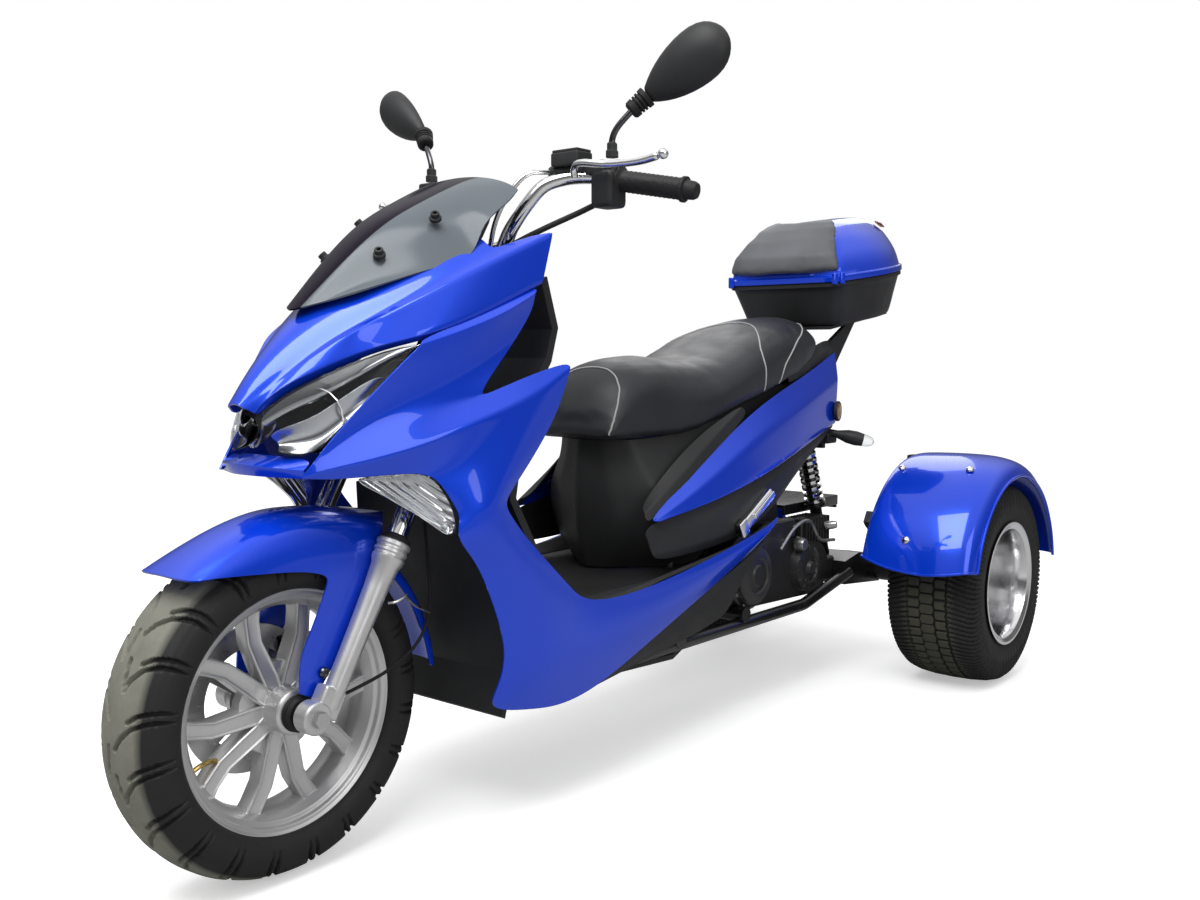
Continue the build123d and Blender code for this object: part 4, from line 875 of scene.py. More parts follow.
def make_backrest():
    """The padded backrest over the front of the lid: two sheets and the edge between them."""
    front, back = [], []
    for up, along, half in BACKREST:
        front.append([])
        back.append([])
        for k in range(9):
            share = k / 4 - 1
            wrap = along + 26 * abs(share) ** 3
            front[-1].append(at(*on_box(half * share, wrap - 12, BOX_SPLIT + up + 3)))
            back[-1].append(at(*on_box(half * share * 0.97, wrap + 3, BOX_SPLIT + up)))
    pad = bmesh.new()
    sheets = [[[pad.verts.new(point) for point in row] for row in sheet] for sheet in (front, back)]
    for sheet in sheets:
        for row, following in zip(sheet, sheet[1:]):
            for corners in zip(row, row[1:], following[1:], following):
                pad.faces.new(corners)
    edges = [sheet[0] + [row[-1] for row in sheet[1:]] + sheet[-1][-2::-1]
             + [row[0] for row in sheet[-2:0:-1]] for sheet in sheets]
    for first, second, third, fourth in zip(edges[0], edges[0][1:] + edges[0][:1],
                                            edges[1][1:] + edges[1][:1], edges[1]):
        pad.faces.new((first, second, third, fourth))
    bmesh.ops.recalc_face_normals(pad, faces=pad.faces)
    swollen("backrest_cushion", pad, "top_box_lid", ["backrest_pad"], "grey_vinyl", 0.004, 3.0, 0.004)


def make_top_box():
    """The tapered base, the domed lid with its lip, and what the lid carries."""
    base = [box_row(up, inset) for up, inset in
            ((2, 48), (2, 38), (8, 32), (50, 20), (92, 7), (94, 1), (BOX_SPLIT - 1, 1))]
    floor = [(0, b, c) for a, b, c in base[0]]
    shell("box_base", "root", ["top_box_base"], "black_plastic", [[floor] + base],
          [(0.9, base[1]), (0.5, base[3]), (0.9, base[4]), (0.9, base[5]), (0.9, base[6]),
           (0.5, [row[3] for row in base])], inside=on_box(0, 185, 60), levels=2)
    lid = [box_row(*row) for row in LID]
    roof = [on_box(0, 130 + 180 * k / 10, BOX_SPLIT + 137) for k in range(11)]
    roof[0] = (0, lid[-1][0][1], lid[-1][0][2])
    roof[-1] = (0, lid[-1][-1][1], lid[-1][-1][2])
    shell("box_lid", "top_box_lid", ["top_box_lid"], "blue_plastic", [lid + [roof]],
          [(0.9, lid[0]), (0.9, lid[1]), (0.9, lid[2]), (0.45, lid[4]), (0.4, [row[3] for row in lid[2:6]])],
          inside=on_box(0, 185, BOX_SPLIT + 60), levels=2)
    make_box_reflectors(lid)
    make_box_ears()
    make_backrest()


# Wheels: profiles are (across, radius) or (radius, along) in millimetres. The treads are cut outside a
# radius, and towards a circle that is a depth below the crown.

TREAD_FROM = 196
TYRE_DEPTH = 45


def carved(across, around, lines, period, width, depth):
    """How deep lines of (across, around) points cut at each place of a grid, over and over around it."""
    nearest = np.full(across.shape, 1e9)
    for turn in (-period, 0.0, period):
        for line in lines:
            for (a, b), (c, d) in zip(line, line[1:]):
                b, d = b + turn, d + turn
                share = ((across - a) * (c - a) + (around - b) * (d - b)) / ((c - a) ** 2 + (d - b) ** 2)
                share = np.clip(share, 0, 1)
                away = np.hypot(across - a - share * (c - a), around - b - share * (d - b))
                nearest = np.minimum(nearest, away)
    return depth * np.clip((width - nearest) / (0.5 * width), 0, 1)


def tyre_mesh(middle, profile, steps, cut):
    """A tyre's bmesh about a wheel's middle, in metres, from a closed profile of (across, radius) in
    millimetres, less the depth that cut gives for places across and round the tyre."""
    turns = np.arange(steps) / steps * math.tau
    profile = np.array(profile)
    across, turn = np.meshgrid(profile[:, 0], turns)
    radius = np.meshgrid(profile[:, 1], turns)[0]
    depth = cut(across, turn, radius)
    core = profile[:, 1].max() - TYRE_DEPTH
    reach = np.hypot(across, radius - core)
    across, radius = across * (1 - depth / reach), radius - (radius - core) * depth / reach
    places = np.stack([across / 1000 + middle.x, middle.y - radius / 1000 * np.sin(turn),
                       middle.z + radius / 1000 * np.cos(turn)], axis=-1)
    count = len(profile)
    faces = [(k * count + j, k * count + (j + 1) % count, (k + 1) % steps * count + (j + 1) % count,
              (k + 1) % steps * count + j) for k in range(steps) for j in range(count)]
    mesh = bpy.data.meshes.new("tyre")
    mesh.from_pydata(places.reshape(-1, 3).tolist(), [], faces)
    bm = bmesh.new()
    bm.from_mesh(mesh)
    bpy.data.meshes.remove(mesh)
    bmesh.ops.recalc_face_normals(bm, faces=bm.faces)
    return bm


def fine(points, gap, limit):
    """The points of a profile with more between them, a gap apart, as far across as the limit."""
    line = []
    for (a, b), (c, d) in zip(points, points[1:]):
        steps = max(1, round(math.hypot(c - a, d - b) / gap)) if min(abs(a), abs(c)) < limit else 1
        line += [(a + (c - a) * k / steps, b + (d - b) * k / steps) for k in range(steps)]
    return line + [points[-1]]


FRONT_GROOVES = [
    [(6, -40), (9, -16), (13, 0), (20, -15), (36, -32), (52, -41), (62, -44)],
    [(8, 77), (20, 60), (36, 46), (52, 38), (62, 34)],
    [(30, 38), (42, 28), (62, 20)],
    [(30, 114), (42, 104), (62, 96)],
]


def front_cut(across, turn, radius):
    """The front tread: ten repeats of grooves, shifted by a quarter of one on the right half."""
    period = math.tau * FRONT_R / 10
    around = turn * FRONT_R + np.where(across < 0, period / 4, 0.0)
    depth = carved(np.abs(across), around % period, FRONT_GROOVES, period, 3.8, 6.5)
    return np.where(radius > TREAD_FROM, depth, 0.0)


def rear_cut(across, turn, radius):
    """The rear tread: rings of wavy grooves with cuts between them, and slanting bars on the shoulders."""
    period = math.tau * REAR_R / 60
    half = period / 2
    around = (turn * REAR_R) % period
    blocks = [[(a, 0), (b, half), (a, period)] for a, b in ((-44, -47), (-15, -19), (15, 19), (44, 47))]
    blocks += [[(-46, half), (-18, half)], [(-16, 0), (16, 0)], [(18, half), (46, half)]]
    bars = [[(side * 46, start), (side * 70, start + 7), (side * 102, start + 18)]
            for side in (1, -1) for start in (0, half)]
    depth = np.maximum(carved(across, around, blocks, period, 2.7, 5.0),
                       carved(across, around, bars, period, 2.4, 4.5))
    return np.where(radius > TREAD_FROM, depth, 0.0)


def dusty_tyre(name, y, z, crown, reach, dust):
    """Rubber with a paler, dusty crown that begins at a radius and is full after a reach."""
    material, tree = new_material(name)
    place = add(tree, "SeparateXYZ", Vector=own_place(tree))
    flat = add(tree, "CombineXYZ", X=calc(tree, "SUBTRACT", place.outputs["Y"], y),
               Y=calc(tree, "SUBTRACT", place.outputs["Z"], z))
    radius = add(tree, "VectorMath", _0=flat.outputs[0])
    radius.operation = "LENGTH"
    high = add(tree, "MapRange", Value=radius.outputs["Value"], From_Min=crown, From_Max=crown + reach)
    patchy = ramp(tree, noise(tree, 30, 6, 0.65), (0.3, 0.75), (0.7, 1.0))
    shown = calc(tree, "MULTIPLY", high.outputs[0], patchy)
    base = mix(tree, shown, (0.013, 0.013, 0.013), dust)
    cells = add(tree, "TexVoronoi", Scale=500.0, Vector=own_place(tree))
    principled(tree, Base_Color=base, Roughness=ramp(tree, noise(tree, 25, 5), (0.3, 0.6), (0.8, 0.75)),
               Specular_IOR_Level=0.3, Normal=bumped(tree, cells.outputs["Distance"], 0.0003, 0.4))
    return material


def loop_mesh(profile, place, axis, segments):
    """A bmesh of a closed profile of (radius, along), in metres, turned about an axis through a place."""
    spin = Vector(axis).to_track_quat("Z", "Y").to_matrix()
    bm = bmesh.new()
    rings = []
    for step in range(segments):
        turn = math.tau * step / segments
        ring = [Vector((radius * math.cos(turn), radius * math.sin(turn), along))
                for radius, along in profile]
        rings.append([bm.verts.new(Vector(place) + spin @ point) for point in ring])
    for ring, following in zip(rings, rings[1:] + rings[:1]):
        for j in range(len(profile)):
            after = (j + 1) % len(profile)
            bm.faces.new((ring[j], ring[after], following[after], following[j]))
    bmesh.ops.recalc_face_normals(bm, faces=bm.faces)
    return bm


def metres(points):
    """A profile in metres from one in millimetres."""
    return [(a / 1000, b / 1000) for a, b in points]


FRONT_BARREL = [
    (182, 46), (180.5, 49), (174, 49.5), (171, 46), (166, 44.5), (164, 38), (158, 36), (156, 31), (150, 24),
    (146, 8), (146, -8), (149, -24), (151, -31), (156, -36), (160.5, -38), (162, -44), (165.5, -45),
    (172, -48.5), (180, -49), (182, -46), (174, -42), (166, -34), (155, -12), (155, 12), (166, 34), (176, 42),
]
FRONT_HUB = [(9, 60), (24, 60), (31, 58), (33, 55), (33, 26), (37, 22), (37, -22), (33, -26), (31, -44),
             (9, -46)]
FRONT_SEAL = [(9, 60), (26, 60), (27, 62), (25, 66), (26, 70), (22, 74), (9, 74)]
FRONT_VALVE = ((0.146, 0.004), (0.132, 0.006), (0.122, 0.012), (0.116, 0.022))
SPOKE = [
    # radius, to the side, width, face
    (24, 10, 27, 28), (46, 17, 27, 28), (72, 28, 26, 26), (102, 40, 25, 24), (132, 43, 25, 23),
    (158, 44, 28, 26),
]
SPOKE_AIM = (184, 45.1)
SPOKE_WEB = [(20, -20), (56, -26), (66, -14), (68, 0), (66, 14), (56, 26), (20, 20)]


def spun(degrees):
    """Directions out from a wheel's middle and to the side there, for a turn about the wheel."""
    turn = math.radians(degrees)
    return Vector((0, math.cos(turn), math.sin(turn))), Vector((0, -math.sin(turn), math.cos(turn)))


def spoke_mesh(middle, out, side):
    """Half of a split spoke, its section square to its own way."""
    rings = []
    for (r, t, wide, front), (far, aside) in zip(SPOKE, [row[:2] for row in SPOKE[1:]] + [SPOKE_AIM]):
        way = Vector((far - r, aside - t)).normalized()
        half = wide / 2
        section = [(-half, -4), (-half, front - 3), (-half + 2.5, front), (-half + 5, front - 2.5),
                   (half - 5, front - 2.5), (half - 2.5, front), (half, front - 3), (half, -4)]
        rings.append([middle + (out * (r - way.y * u) + side * (t + way.x * u)) / 1000
                      + Vector((x / 1000, 0, 0)) for u, x in section])
    return rings_mesh(rings)


def make_front_wheel():
    """The tyre with its carved tread, and the cast wheel of five split spokes."""
    middle = Vector((0, AXLE_Y, AXLE_Z))
    outer = [(47, 174), (53, 175.5), (59.5, 181), (63.5, 190), (64.5, 200), (62.5, 212), (57, 222), (47, 231),
             (34, 237.5), (18, 241.8), (0, 242.9)]
    right = outer[:5] + fine(outer[5:], 2.2, 64)
    left = [(-a, b) for a, b in right[-2::-1]]
    inner = [(-43, 168), (-52, 190), (-30, 222), (0, 228), (30, 222), (52, 190), (43, 168)]
    rubber = dusty_tyre("front_tyre_rubber", AXLE_Y, AXLE_Z, 0.229, 0.006, (0.2, 0.2, 0.165))
    made("front_tyre_tread", tyre_mesh(middle, right + left + inner, 720, front_cut), "front_wheel",
         ["front_tyre"], "tyre", material=rubber)
    parts = [loop_mesh(metres(FRONT_BARREL), middle, (1, 0, 0), 96),
             loop_mesh(metres(FRONT_HUB), middle, (1, 0, 0), 48)]
    for spoke in range(5):
        out, side = spun(90 + 72 * spoke)
        parts += [spoke_mesh(middle, out, side), spoke_mesh(middle, out, -side)]
        parts.append(rings_mesh([[middle + (out * r + side * t) / 1000 + Vector((x / 1000, 0, 0))
                                  for r, t in SPOKE_WEB] for x in (0, 18)]))
    joined("front_wheel_casting", parts, "front_wheel", ["front_rim"], "silver_paint",
           modifiers=[("BEVEL", {"width": 0.0012, "segments": 2, "limit_method": "ANGLE"})])
    joined("front_hub_seal", [loop_mesh(metres(FRONT_SEAL), middle, (1, 0, 0), 40)], "front_wheel", [],
           "black_rubber")
    out = spun(205)[0]
    valve = tube_mesh([middle + out * r + Vector((x, 0, 0)) for r, x in FRONT_VALVE], 0.0035, 10)
    joined("front_valve", [valve], "front_wheel", [], "steel", material=MATERIALS["brass"])


def make_rear_wheels():
    """Wide tyres with block treads, on deep polished rims, with their valves."""
    outer = [(84, 128), (94, 134), (100, 152), (102.3, 176), (101.5, 200), (97, 212), (88, 219.5), (70, 225),
             (40, 228.4), (0, 229.4)]
    right = outer[:4] + fine(outer[4:], 2.5, 103)
    left = [(-a, b) for a, b in right[-2::-1]]
    inner = [(-80, 130), (-94, 170), (-70, 205), (0, 214), (70, 205), (94, 170), (80, 130)]
    rubber = dusty_tyre("rear_tyre_rubber", REAR_Y, REAR_Z, 0.2255, 0.002, (0.06, 0.06, 0.042))
    dish = [(139.5, 102), (136, 102.4), (132.5, 101.5), (128, 98), (123.5, 97), (122, 92), (120, 88),
            (117, 60), (116, 30), (112, -10), (106, -22), (70, -30), (44, -34), (40, -22), (16, -22),
            (16, -50), (60, -50), (100, -44), (118, -30), (121, 40), (124, 84), (131, 92)]
    out = spun(150)[0]
    for flip, name in ((1, "left"), (-1, "right")):
        middle = Vector((flip * REAR_HALF_TRACK, REAR_Y, REAR_Z))
        made("rear_tyre_tread_" + name, tyre_mesh(middle, right + left + inner, 540, rear_cut), "rear_axle",
             ["rear_tyres"], "tyre", material=rubber)
        joined("rear_rim_dish_" + name, [loop_mesh(metres(dish), middle, (flip, 0, 0), 96)], "rear_axle",
               ["rear_rims"], "aluminium", sharp=50)
        valve = [middle + out * r + Vector((flip * x, 0, 0))
                 for r, x in ((0.118, 0.05), (0.108, 0.056), (0.1, 0.07))]
        joined("rear_valve_" + name, [tube_mesh(valve, 0.0055, 12)], "rear_axle", [], "black_rubber")


# Fork, bars, mirrors and controls

FORK_LEAD = 22
FORK_AXIS = Vector((0, 0.5, math.sqrt(0.75)))
FORK_LEG = [
    (13, 6), (15, 12), (15.5, 40), (16.5, 120), (18.5, 190), (21, 224), (24.5, 232), (25, 238), (23.4, 239.5),
    (23.4, 243), (25.4, 244.5), (25.4, 249), (23.8, 250.5), (23.8, 254), (25.8, 255.5), (25.8, 261),
    (24.5, 262.5),
]
AXLE_CLAMP = [(7.5, -14), (21, -14), (23.5, -11.5), (23.5, 11.5), (21, 14), (7.5, 14)]
CABLE_CLIP = [(104, 132, 384), (114, 140, 386), (114, 158, 392), (104, 168, 388), (96, 190, 370),
              (90, 226, 352)]
HUB_CABLE = [(84, 30, 256), (84, 80, 262), (84, 150, 278), (83, 205, 306), (82, 230, 345), (80, 236, 392),
             (76, 234, 450), (68, 236, 510)]
SEAL = [(24, 262.3), (24, 266), (21.5, 267), (21.5, 270), (18, 273), (15.2, 274)]


def on_fork(x, along):
    """A point beside the fork's middle, from its length along the fork above the axle."""
    return at(x, FORK_LEAD + along / 2, FRONT_R + along * math.sqrt(0.75))


def make_fork():
    """The cast legs with their grooved collars and black seals, the clip, and the cable that it holds."""
    legs, seals = [], []
    leaning = Matrix.Rotation(math.radians(-30), 3, "X")
    for flip in (1, -1):
        foot = on_fork(flip * 95, 0)
        legs.append(turned_mesh([(0.0, 0.006)] + metres(FORK_LEG) + [(0.0152, 0.2625)], foot, FORK_AXIS, 40))
        seals.append(turned_mesh(metres(SEAL), foot, FORK_AXIS, 40))
        clamp = Vector((flip * 0.095, AXLE_Y, AXLE_Z))
        legs.append(loop_mesh(metres(AXLE_CLAMP), clamp, (1, 0, 0), 40))
        lug = on_fork(flip * 95, 14) + Vector((0, -0.004, 0.004))
        legs.append(rounded_block(lug, (26, 40, 44), leaning, 6))
    joined("fork_castings", legs, "steering", ["fork_legs"], "silver_paint")
    joined("fork_seals", seals, "steering", [], "black_rubber")
    joined("cable_clip", [pipe(CABLE_CLIP, 0.0022, 8)], "steering", [], "steel")
    joined("hub_cable", [pipe(HUB_CABLE, 0.0026, 10)], "steering", [], "black_rubber")


GRIP_IN = (228, 521, 1026)
GRIP_OUT = (344, 543, 1004)
LEVER = [(174, 474, 1030), (176, 470, 1044), (192, 467, 1051), (240, 474, 1045), (296, 481, 1045),
         (334, 483, 1050)]
BENT_BAR = [(0, 446, 922), (42, 446, 928), (68, 440, 956), (92, 448, 990), (114, 464, 1020), (140, 484, 1032),
            (176, 500, 1034), (228, 519, 1028), (330, 540, 1006)]
BAR_CABLES = [
    ([(112, 484, 1046), (96, 446, 1040), (72, 424, 1004), (52, 416, 964), (40, 414, 920)], 0.0042, "chrome"),
    ([(126, 496, 1036), (108, 470, 1018), (88, 442, 990), (66, 428, 956), (50, 420, 918)], 0.0036, "steel"),
    ([(196, 508, 992), (160, 500, 978), (116, 476, 957), (84, 452, 938), (56, 428, 918)], 0.0048,
     "black_rubber"),
]
CYLINDER = [(0.0, 0.0), (0.009, 0.0), (0.0105, 0.003), (0.0105, 0.012), (0.0085, 0.014), (0.0085, 0.06),
            (0.011, 0.062), (0.011, 0.07), (0.0, 0.07)]
MIRROR_NUT = [(0.0, 0.0), (0.011, 0.0), (0.011, 0.01), (0.009, 0.012), (0.009, 0.022), (0.007, 0.024)]
MIRROR_STEM = ((213, 521, 1066), (213, 521, 1092), (222, 524, 1112), (242, 534, 1136))
MIRROR_BOOT = [
    (0.0, 0.0), (0.009, 0.0), (0.0115, 0.003), (0.012, 0.012), (0.0095, 0.013), (0.0095, 0.015),
    (0.012, 0.0155), (0.012, 0.0185), (0.0098, 0.019), (0.0098, 0.021), (0.0125, 0.0215), (0.0125, 0.0245),
    (0.0102, 0.025), (0.0102, 0.027), (0.013, 0.028), (0.0135, 0.036), (0.0, 0.038),
]
MIRROR_NECK = (264, 549, 1160)
MIRROR_END = (398, 574, 1241)
MIRROR = [(0.0, 13, 10, 8), (0.03, 16, 12, 7), (0.14, 28, 19, 6), (0.32, 40, 27, 5), (0.52, 47, 32, 5),
          (0.72, 48, 32, 5), (0.87, 40, 26, 5), (0.96, 24, 15, 4), (1.0, 8, 4, 3)]


def rounded_block(middle, size, turn, radius, segments=3):
    """A block with rounded edges, its size in millimetres, turned by a matrix about its middle."""
    bm = bmesh.new()
    bmesh.ops.create_cube(bm, size=1.0)
    scale = Matrix.Diagonal([length / 1000 for length in size] + [1])
    bmesh.ops.transform(bm, matrix=scale, verts=bm.verts)
    bmesh.ops.bevel(bm, geom=bm.edges[:], offset=radius / 1000, segments=segments, profile=0.6,
                    affect="EDGES")
    bmesh.ops.transform(bm, matrix=Matrix.Translation(middle) @ turn.to_4x4(), verts=bm.verts)
    return bm


def grip_profile(length):
    """A grip's flange, its ribs and its end cap, as (radius, along)."""
    profile = [(0.0112, 0.0), (0.023, 0.0), (0.0235, 0.004), (0.018, 0.007)]
    profile += [(0.0168 + 0.0009 * (k % 2), 0.008 + (length - 0.016) * k / 26) for k in range(27)]
    return profile + [(0.0205, length - 0.006), (0.0205, length - 0.001), (0.0155, length),
                      (0.0145, length + 0.014), (0.012, length + 0.019), (0.0, length + 0.02)]


def mirror_meshes(flip, neck, end):
    """A mirror's shell and its glass, along a line from its neck; the right one is narrower."""
    narrow = 1.0 if flip == 1 else 0.84
    axis = (end - neck).normalized()
    facing = Vector((-0.42 * flip, 0.9, -0.1))
    facing = (facing - axis * facing.dot(axis)).normalized()
    wide = axis.cross(facing)
    rings = []
    for share, half, front, back in MIRROR:
        middle = neck + (end - neck) * share
        ring = []
        for k in range(20):
            turn = math.tau * k / 20
            deep = -math.cos(turn)
            depth = (front if deep < 0 else back) * deep
            ring.append(middle + wide * half * narrow / 1000 * math.sin(turn) + facing * depth / 1000)
        rings.append(ring)
    glass_rings = []
    for size in (1.0, 0.96):
        glass_rings.append([neck + (end - neck) * (0.54 + 0.36 * size * math.cos(math.tau * k / 28))
                            + wide * 0.036 * narrow * size * math.sin(math.tau * k / 28)
                            + facing * (0.0045 + 0.0012 * (1 - size) / 0.04) for k in range(28)])
    return rings_mesh(rings), rings_mesh(glass_rings)


def make_bars():
    """The bent bar, grips, switch housings, levers with their master cylinders, cables and mirrors."""
    grips, blocks, levers, boots, heads, stems, glasses, cables = [], [], [], [], [], [], [], {}
    level = Matrix.Identity(3)
    for flip in (1, -1):
        def spot(point):
            return at(flip * point[0], point[1], point[2])
        inner, outer = spot(GRIP_IN), spot(GRIP_OUT)
        way = (outer - inner).normalized()
        grips.append(turned_mesh(grip_profile((outer - inner).length), inner, way, 32))
        turn = way.to_track_quat("Z", "Y").to_matrix()
        blocks.append(rounded_block(spot((212, 513, 1012)), (44, 46, 60), level, 11))
        blocks.append(rounded_block(inner - way * 0.003, (46, 40, 10), turn, 4))
        blocks.append(rounded_block(spot((196, 504, 1046)), (44, 26, 24), level, 6))
        cylinder_end, lever_back, lever_up = (150, 502, 1034), 30, -24
        if flip == 1:
            blocks.append(rounded_block(spot((148, 496, 1064)), (58, 40, 22), level, 4))
            blocks.append(rounded_block(spot((148, 496, 1077)), (54, 36, 5), level, 2))
            cylinder_end, lever_back, lever_up = (108, 490, 1046), 0, 0
        blocks.append(turned_mesh(CYLINDER, spot(cylinder_end), Vector((flip, 0.1, 0)), 24))
        levers.append(tube_mesh([spot(point) for point in moved(LEVER, 0, lever_back, lever_up)], 0.0064, 14))
        turns = [math.pi * k / 10 for k in range(11)]
        ball = [(0.0085 * math.sin(part), -0.0085 * math.cos(part)) for part in turns]
        levers.append(turned_mesh(ball, spot((342, 484 + lever_back, 1052 + lever_up)), (0, 0, 1), 20))
        blocks.append(turned_mesh(MIRROR_NUT, spot((213, 521, 1064)), (0, 0, 1), 6))
        stems.append(tube_mesh([spot(point) for point in MIRROR_STEM], 0.0052, 14))
        neck, end = spot(MIRROR_NECK), spot(MIRROR_END)
        boot_from = spot((241, 533, 1135))
        boot = [(radius * 1.3, along) for radius, along in MIRROR_BOOT]
        boots.append(turned_mesh(boot, boot_from, neck - boot_from, 28))
        head, pane = mirror_meshes(flip, neck, end)
        heads.append(head)
        glasses.append(pane)
        for line, radius, kind in BAR_CABLES:
            cables.setdefault(kind, []).append(tube_mesh([spot(point) for point in line], radius, 12))
    joined("bent_bar", [pipe(whole_line(BENT_BAR), 0.011, 20)], "steering", ["handlebar"], "chrome")
    joined("grip_rubbers", grips, "steering", ["grips"], "black_rubber", material=MATERIALS["grip"])
    joined("switch_housings", blocks, "steering", ["bar_controls"], "black_plastic")
    joined("hand_levers", levers, "steering", ["brake_levers"], "aluminium", modifiers=ONE_SMOOTHING)
    joined("mirror_stems", stems, "steering", ["mirror_arms"], "black_paint",
           material=MATERIALS["dark_chrome"])
    joined("mirror_boots", boots, "steering", [], "black_rubber")
    joined("mirror_shells", heads, "steering", ["mirror_heads"], "black_plastic", modifiers=ONE_SMOOTHING,
           sharp=70)
    joined("mirror_glasses", glasses, "steering", [], "chrome")
    for kind, tubes in cables.items():
        joined("bar_cables_" + kind, tubes, "steering", [], kind)


def make_bolts():
    """Black cap bolts on their washers on the screen, and dark ones on the front fender's legs."""
    cap = [(0.0, -0.003), (0.0095, -0.003), (0.0095, 0.001), (0.0085, 0.002), (0.0068, 0.0025),
           (0.0068, 0.0085), (0.006, 0.0095), (0.0035, 0.0095), (0.0035, 0.004), (0.0, 0.004)]
    bolts = [turned_mesh(cap, at(flip * x, behind, z), (flip * 0.45, -0.5, 0.74), 24)
             for x, behind, z in ((63, 160, 894), (87, 250, 953)) for flip in (1, -1)]
    joined("screen_bolts", bolts, "root", [], "black_plastic", sharp=25)
    dome = [(0.008, -0.002), (0.008, 0.0005), (0.006, 0.003), (0.0035, 0.0032), (0.003, 0.0012), (0.0, 0.001)]
    domes = [turned_mesh(dome, at(flip * 81, behind, z), (flip, 0, 0), 24)
             for behind, z in ((33, 297), (126, 417)) for flip in (1, -1)]
    joined("fender_bolts", domes, "steering", [], "steel", material=MATERIALS["dark_chrome"])


# Instruments, engine and tail

def make_instruments():
    """The black instrument pod behind the screen."""
    tilt = Matrix.Rotation(math.radians(-32), 3, "X")
    parts = [rounded_block(at(0, 338, 955), (190, 46, 56), tilt, 14),
             rounded_block(at(0, 350, 915), (110, 26, 50), tilt, 8)]
    joined("instrument_pod", parts, "root", [], "black_plastic")


def make_engine():
    """Round belt covers with their screws, a finned cylinder, the shelf over it, and small pipes."""
    level = Matrix.Identity(3)
    cover = [(0.0, 0.036), (0.02, 0.036), (0.024, 0.032), (0.034, 0.031), (0.038, 0.034), (0.056, 0.031),
             (0.064, 0.024), (0.067, 0.014), (0.073, 0.012), (0.073, 0.0), (0.0, 0.0)]
    clutch = [(0.0, 0.03), (0.012, 0.03), (0.016, 0.022), (0.03, 0.02), (0.034, 0.024), (0.05, 0.02),
              (0.056, 0.0), (0.0, 0.0)]
    screw = [(0.0, 0.006), (0.0042, 0.006), (0.0046, 0.0), (0.0, 0.0)]
    parts = [turned_mesh(cover, at(128, 1074, 290), (1, 0, 0), 64),
             turned_mesh(clutch, at(128, 1309, 272), (1, 0, 0), 48)]
    bright = []
    for k in range(12):
        turn = math.tau * k / 12
        place = at(141, 1074 + 66 * math.cos(turn), 290 + 66 * math.sin(turn))
        bright.append(turned_mesh(screw, place, (1, 0, 0), 12))
        spin = Matrix.Rotation(turn, 3, "X")
        place = at(146, 1309, 272) + spin @ Vector((0, 0.038, 0))
        parts.append(rounded_block(place, (10, 22, 4), spin, 1, 2))
    parts += [rounded_block(at(96, 1334 + 13 * k, 344), (64, 4, 62), level, 1, 2) for k in range(9)]
    for place, size, radius in (((96, 1386, 344), (44, 116, 44), 6), ((112, 1200, 306), (28, 220, 60), 10),
                                ((118, 1400, 250), (26, 130, 56), 10), ((110, 1230, 362), (30, 120, 44), 8)):
        parts.append(rounded_block(at(*place), size, level, radius))
    joined("engine_covers", parts, "root", [], "cast_black")
    shelf = [rounded_block(at(*place), size, level, radius) for place, size, radius in (
        ((-14, 1470, 398), (150, 260, 8), 3), ((62, 1470, 390), (6, 260, 24), 2),
        ((-14, 1600, 386), (150, 8, 32), 3))]
    joined("engine_shelf", shelf, "root", [], "black_paint")
    line = [(150, 1180, 330), (152, 1240, 372), (148, 1310, 376), (146, 1360, 330), (140, 1440, 318)]
    bright.append(pipe(line, 0.004, 10))
    knob = [(0.0, 0.02), (0.012, 0.02), (0.014, 0.014), (0.016, 0.0), (0.0, 0.0)]
    bright.append(turned_mesh(knob, at(140, 1270, 330), (1, 0, 0), 24))
    plug = [(0.0, 0.026), (0.008, 0.026), (0.01, 0.018), (0.01, 0.0), (0.0, 0.0)]
    bright.append(turned_mesh(plug, at(128, 1420, 352), (1, 0.3, 0.2), 20))
    joined("engine_fittings", bright, "root", [], "steel")


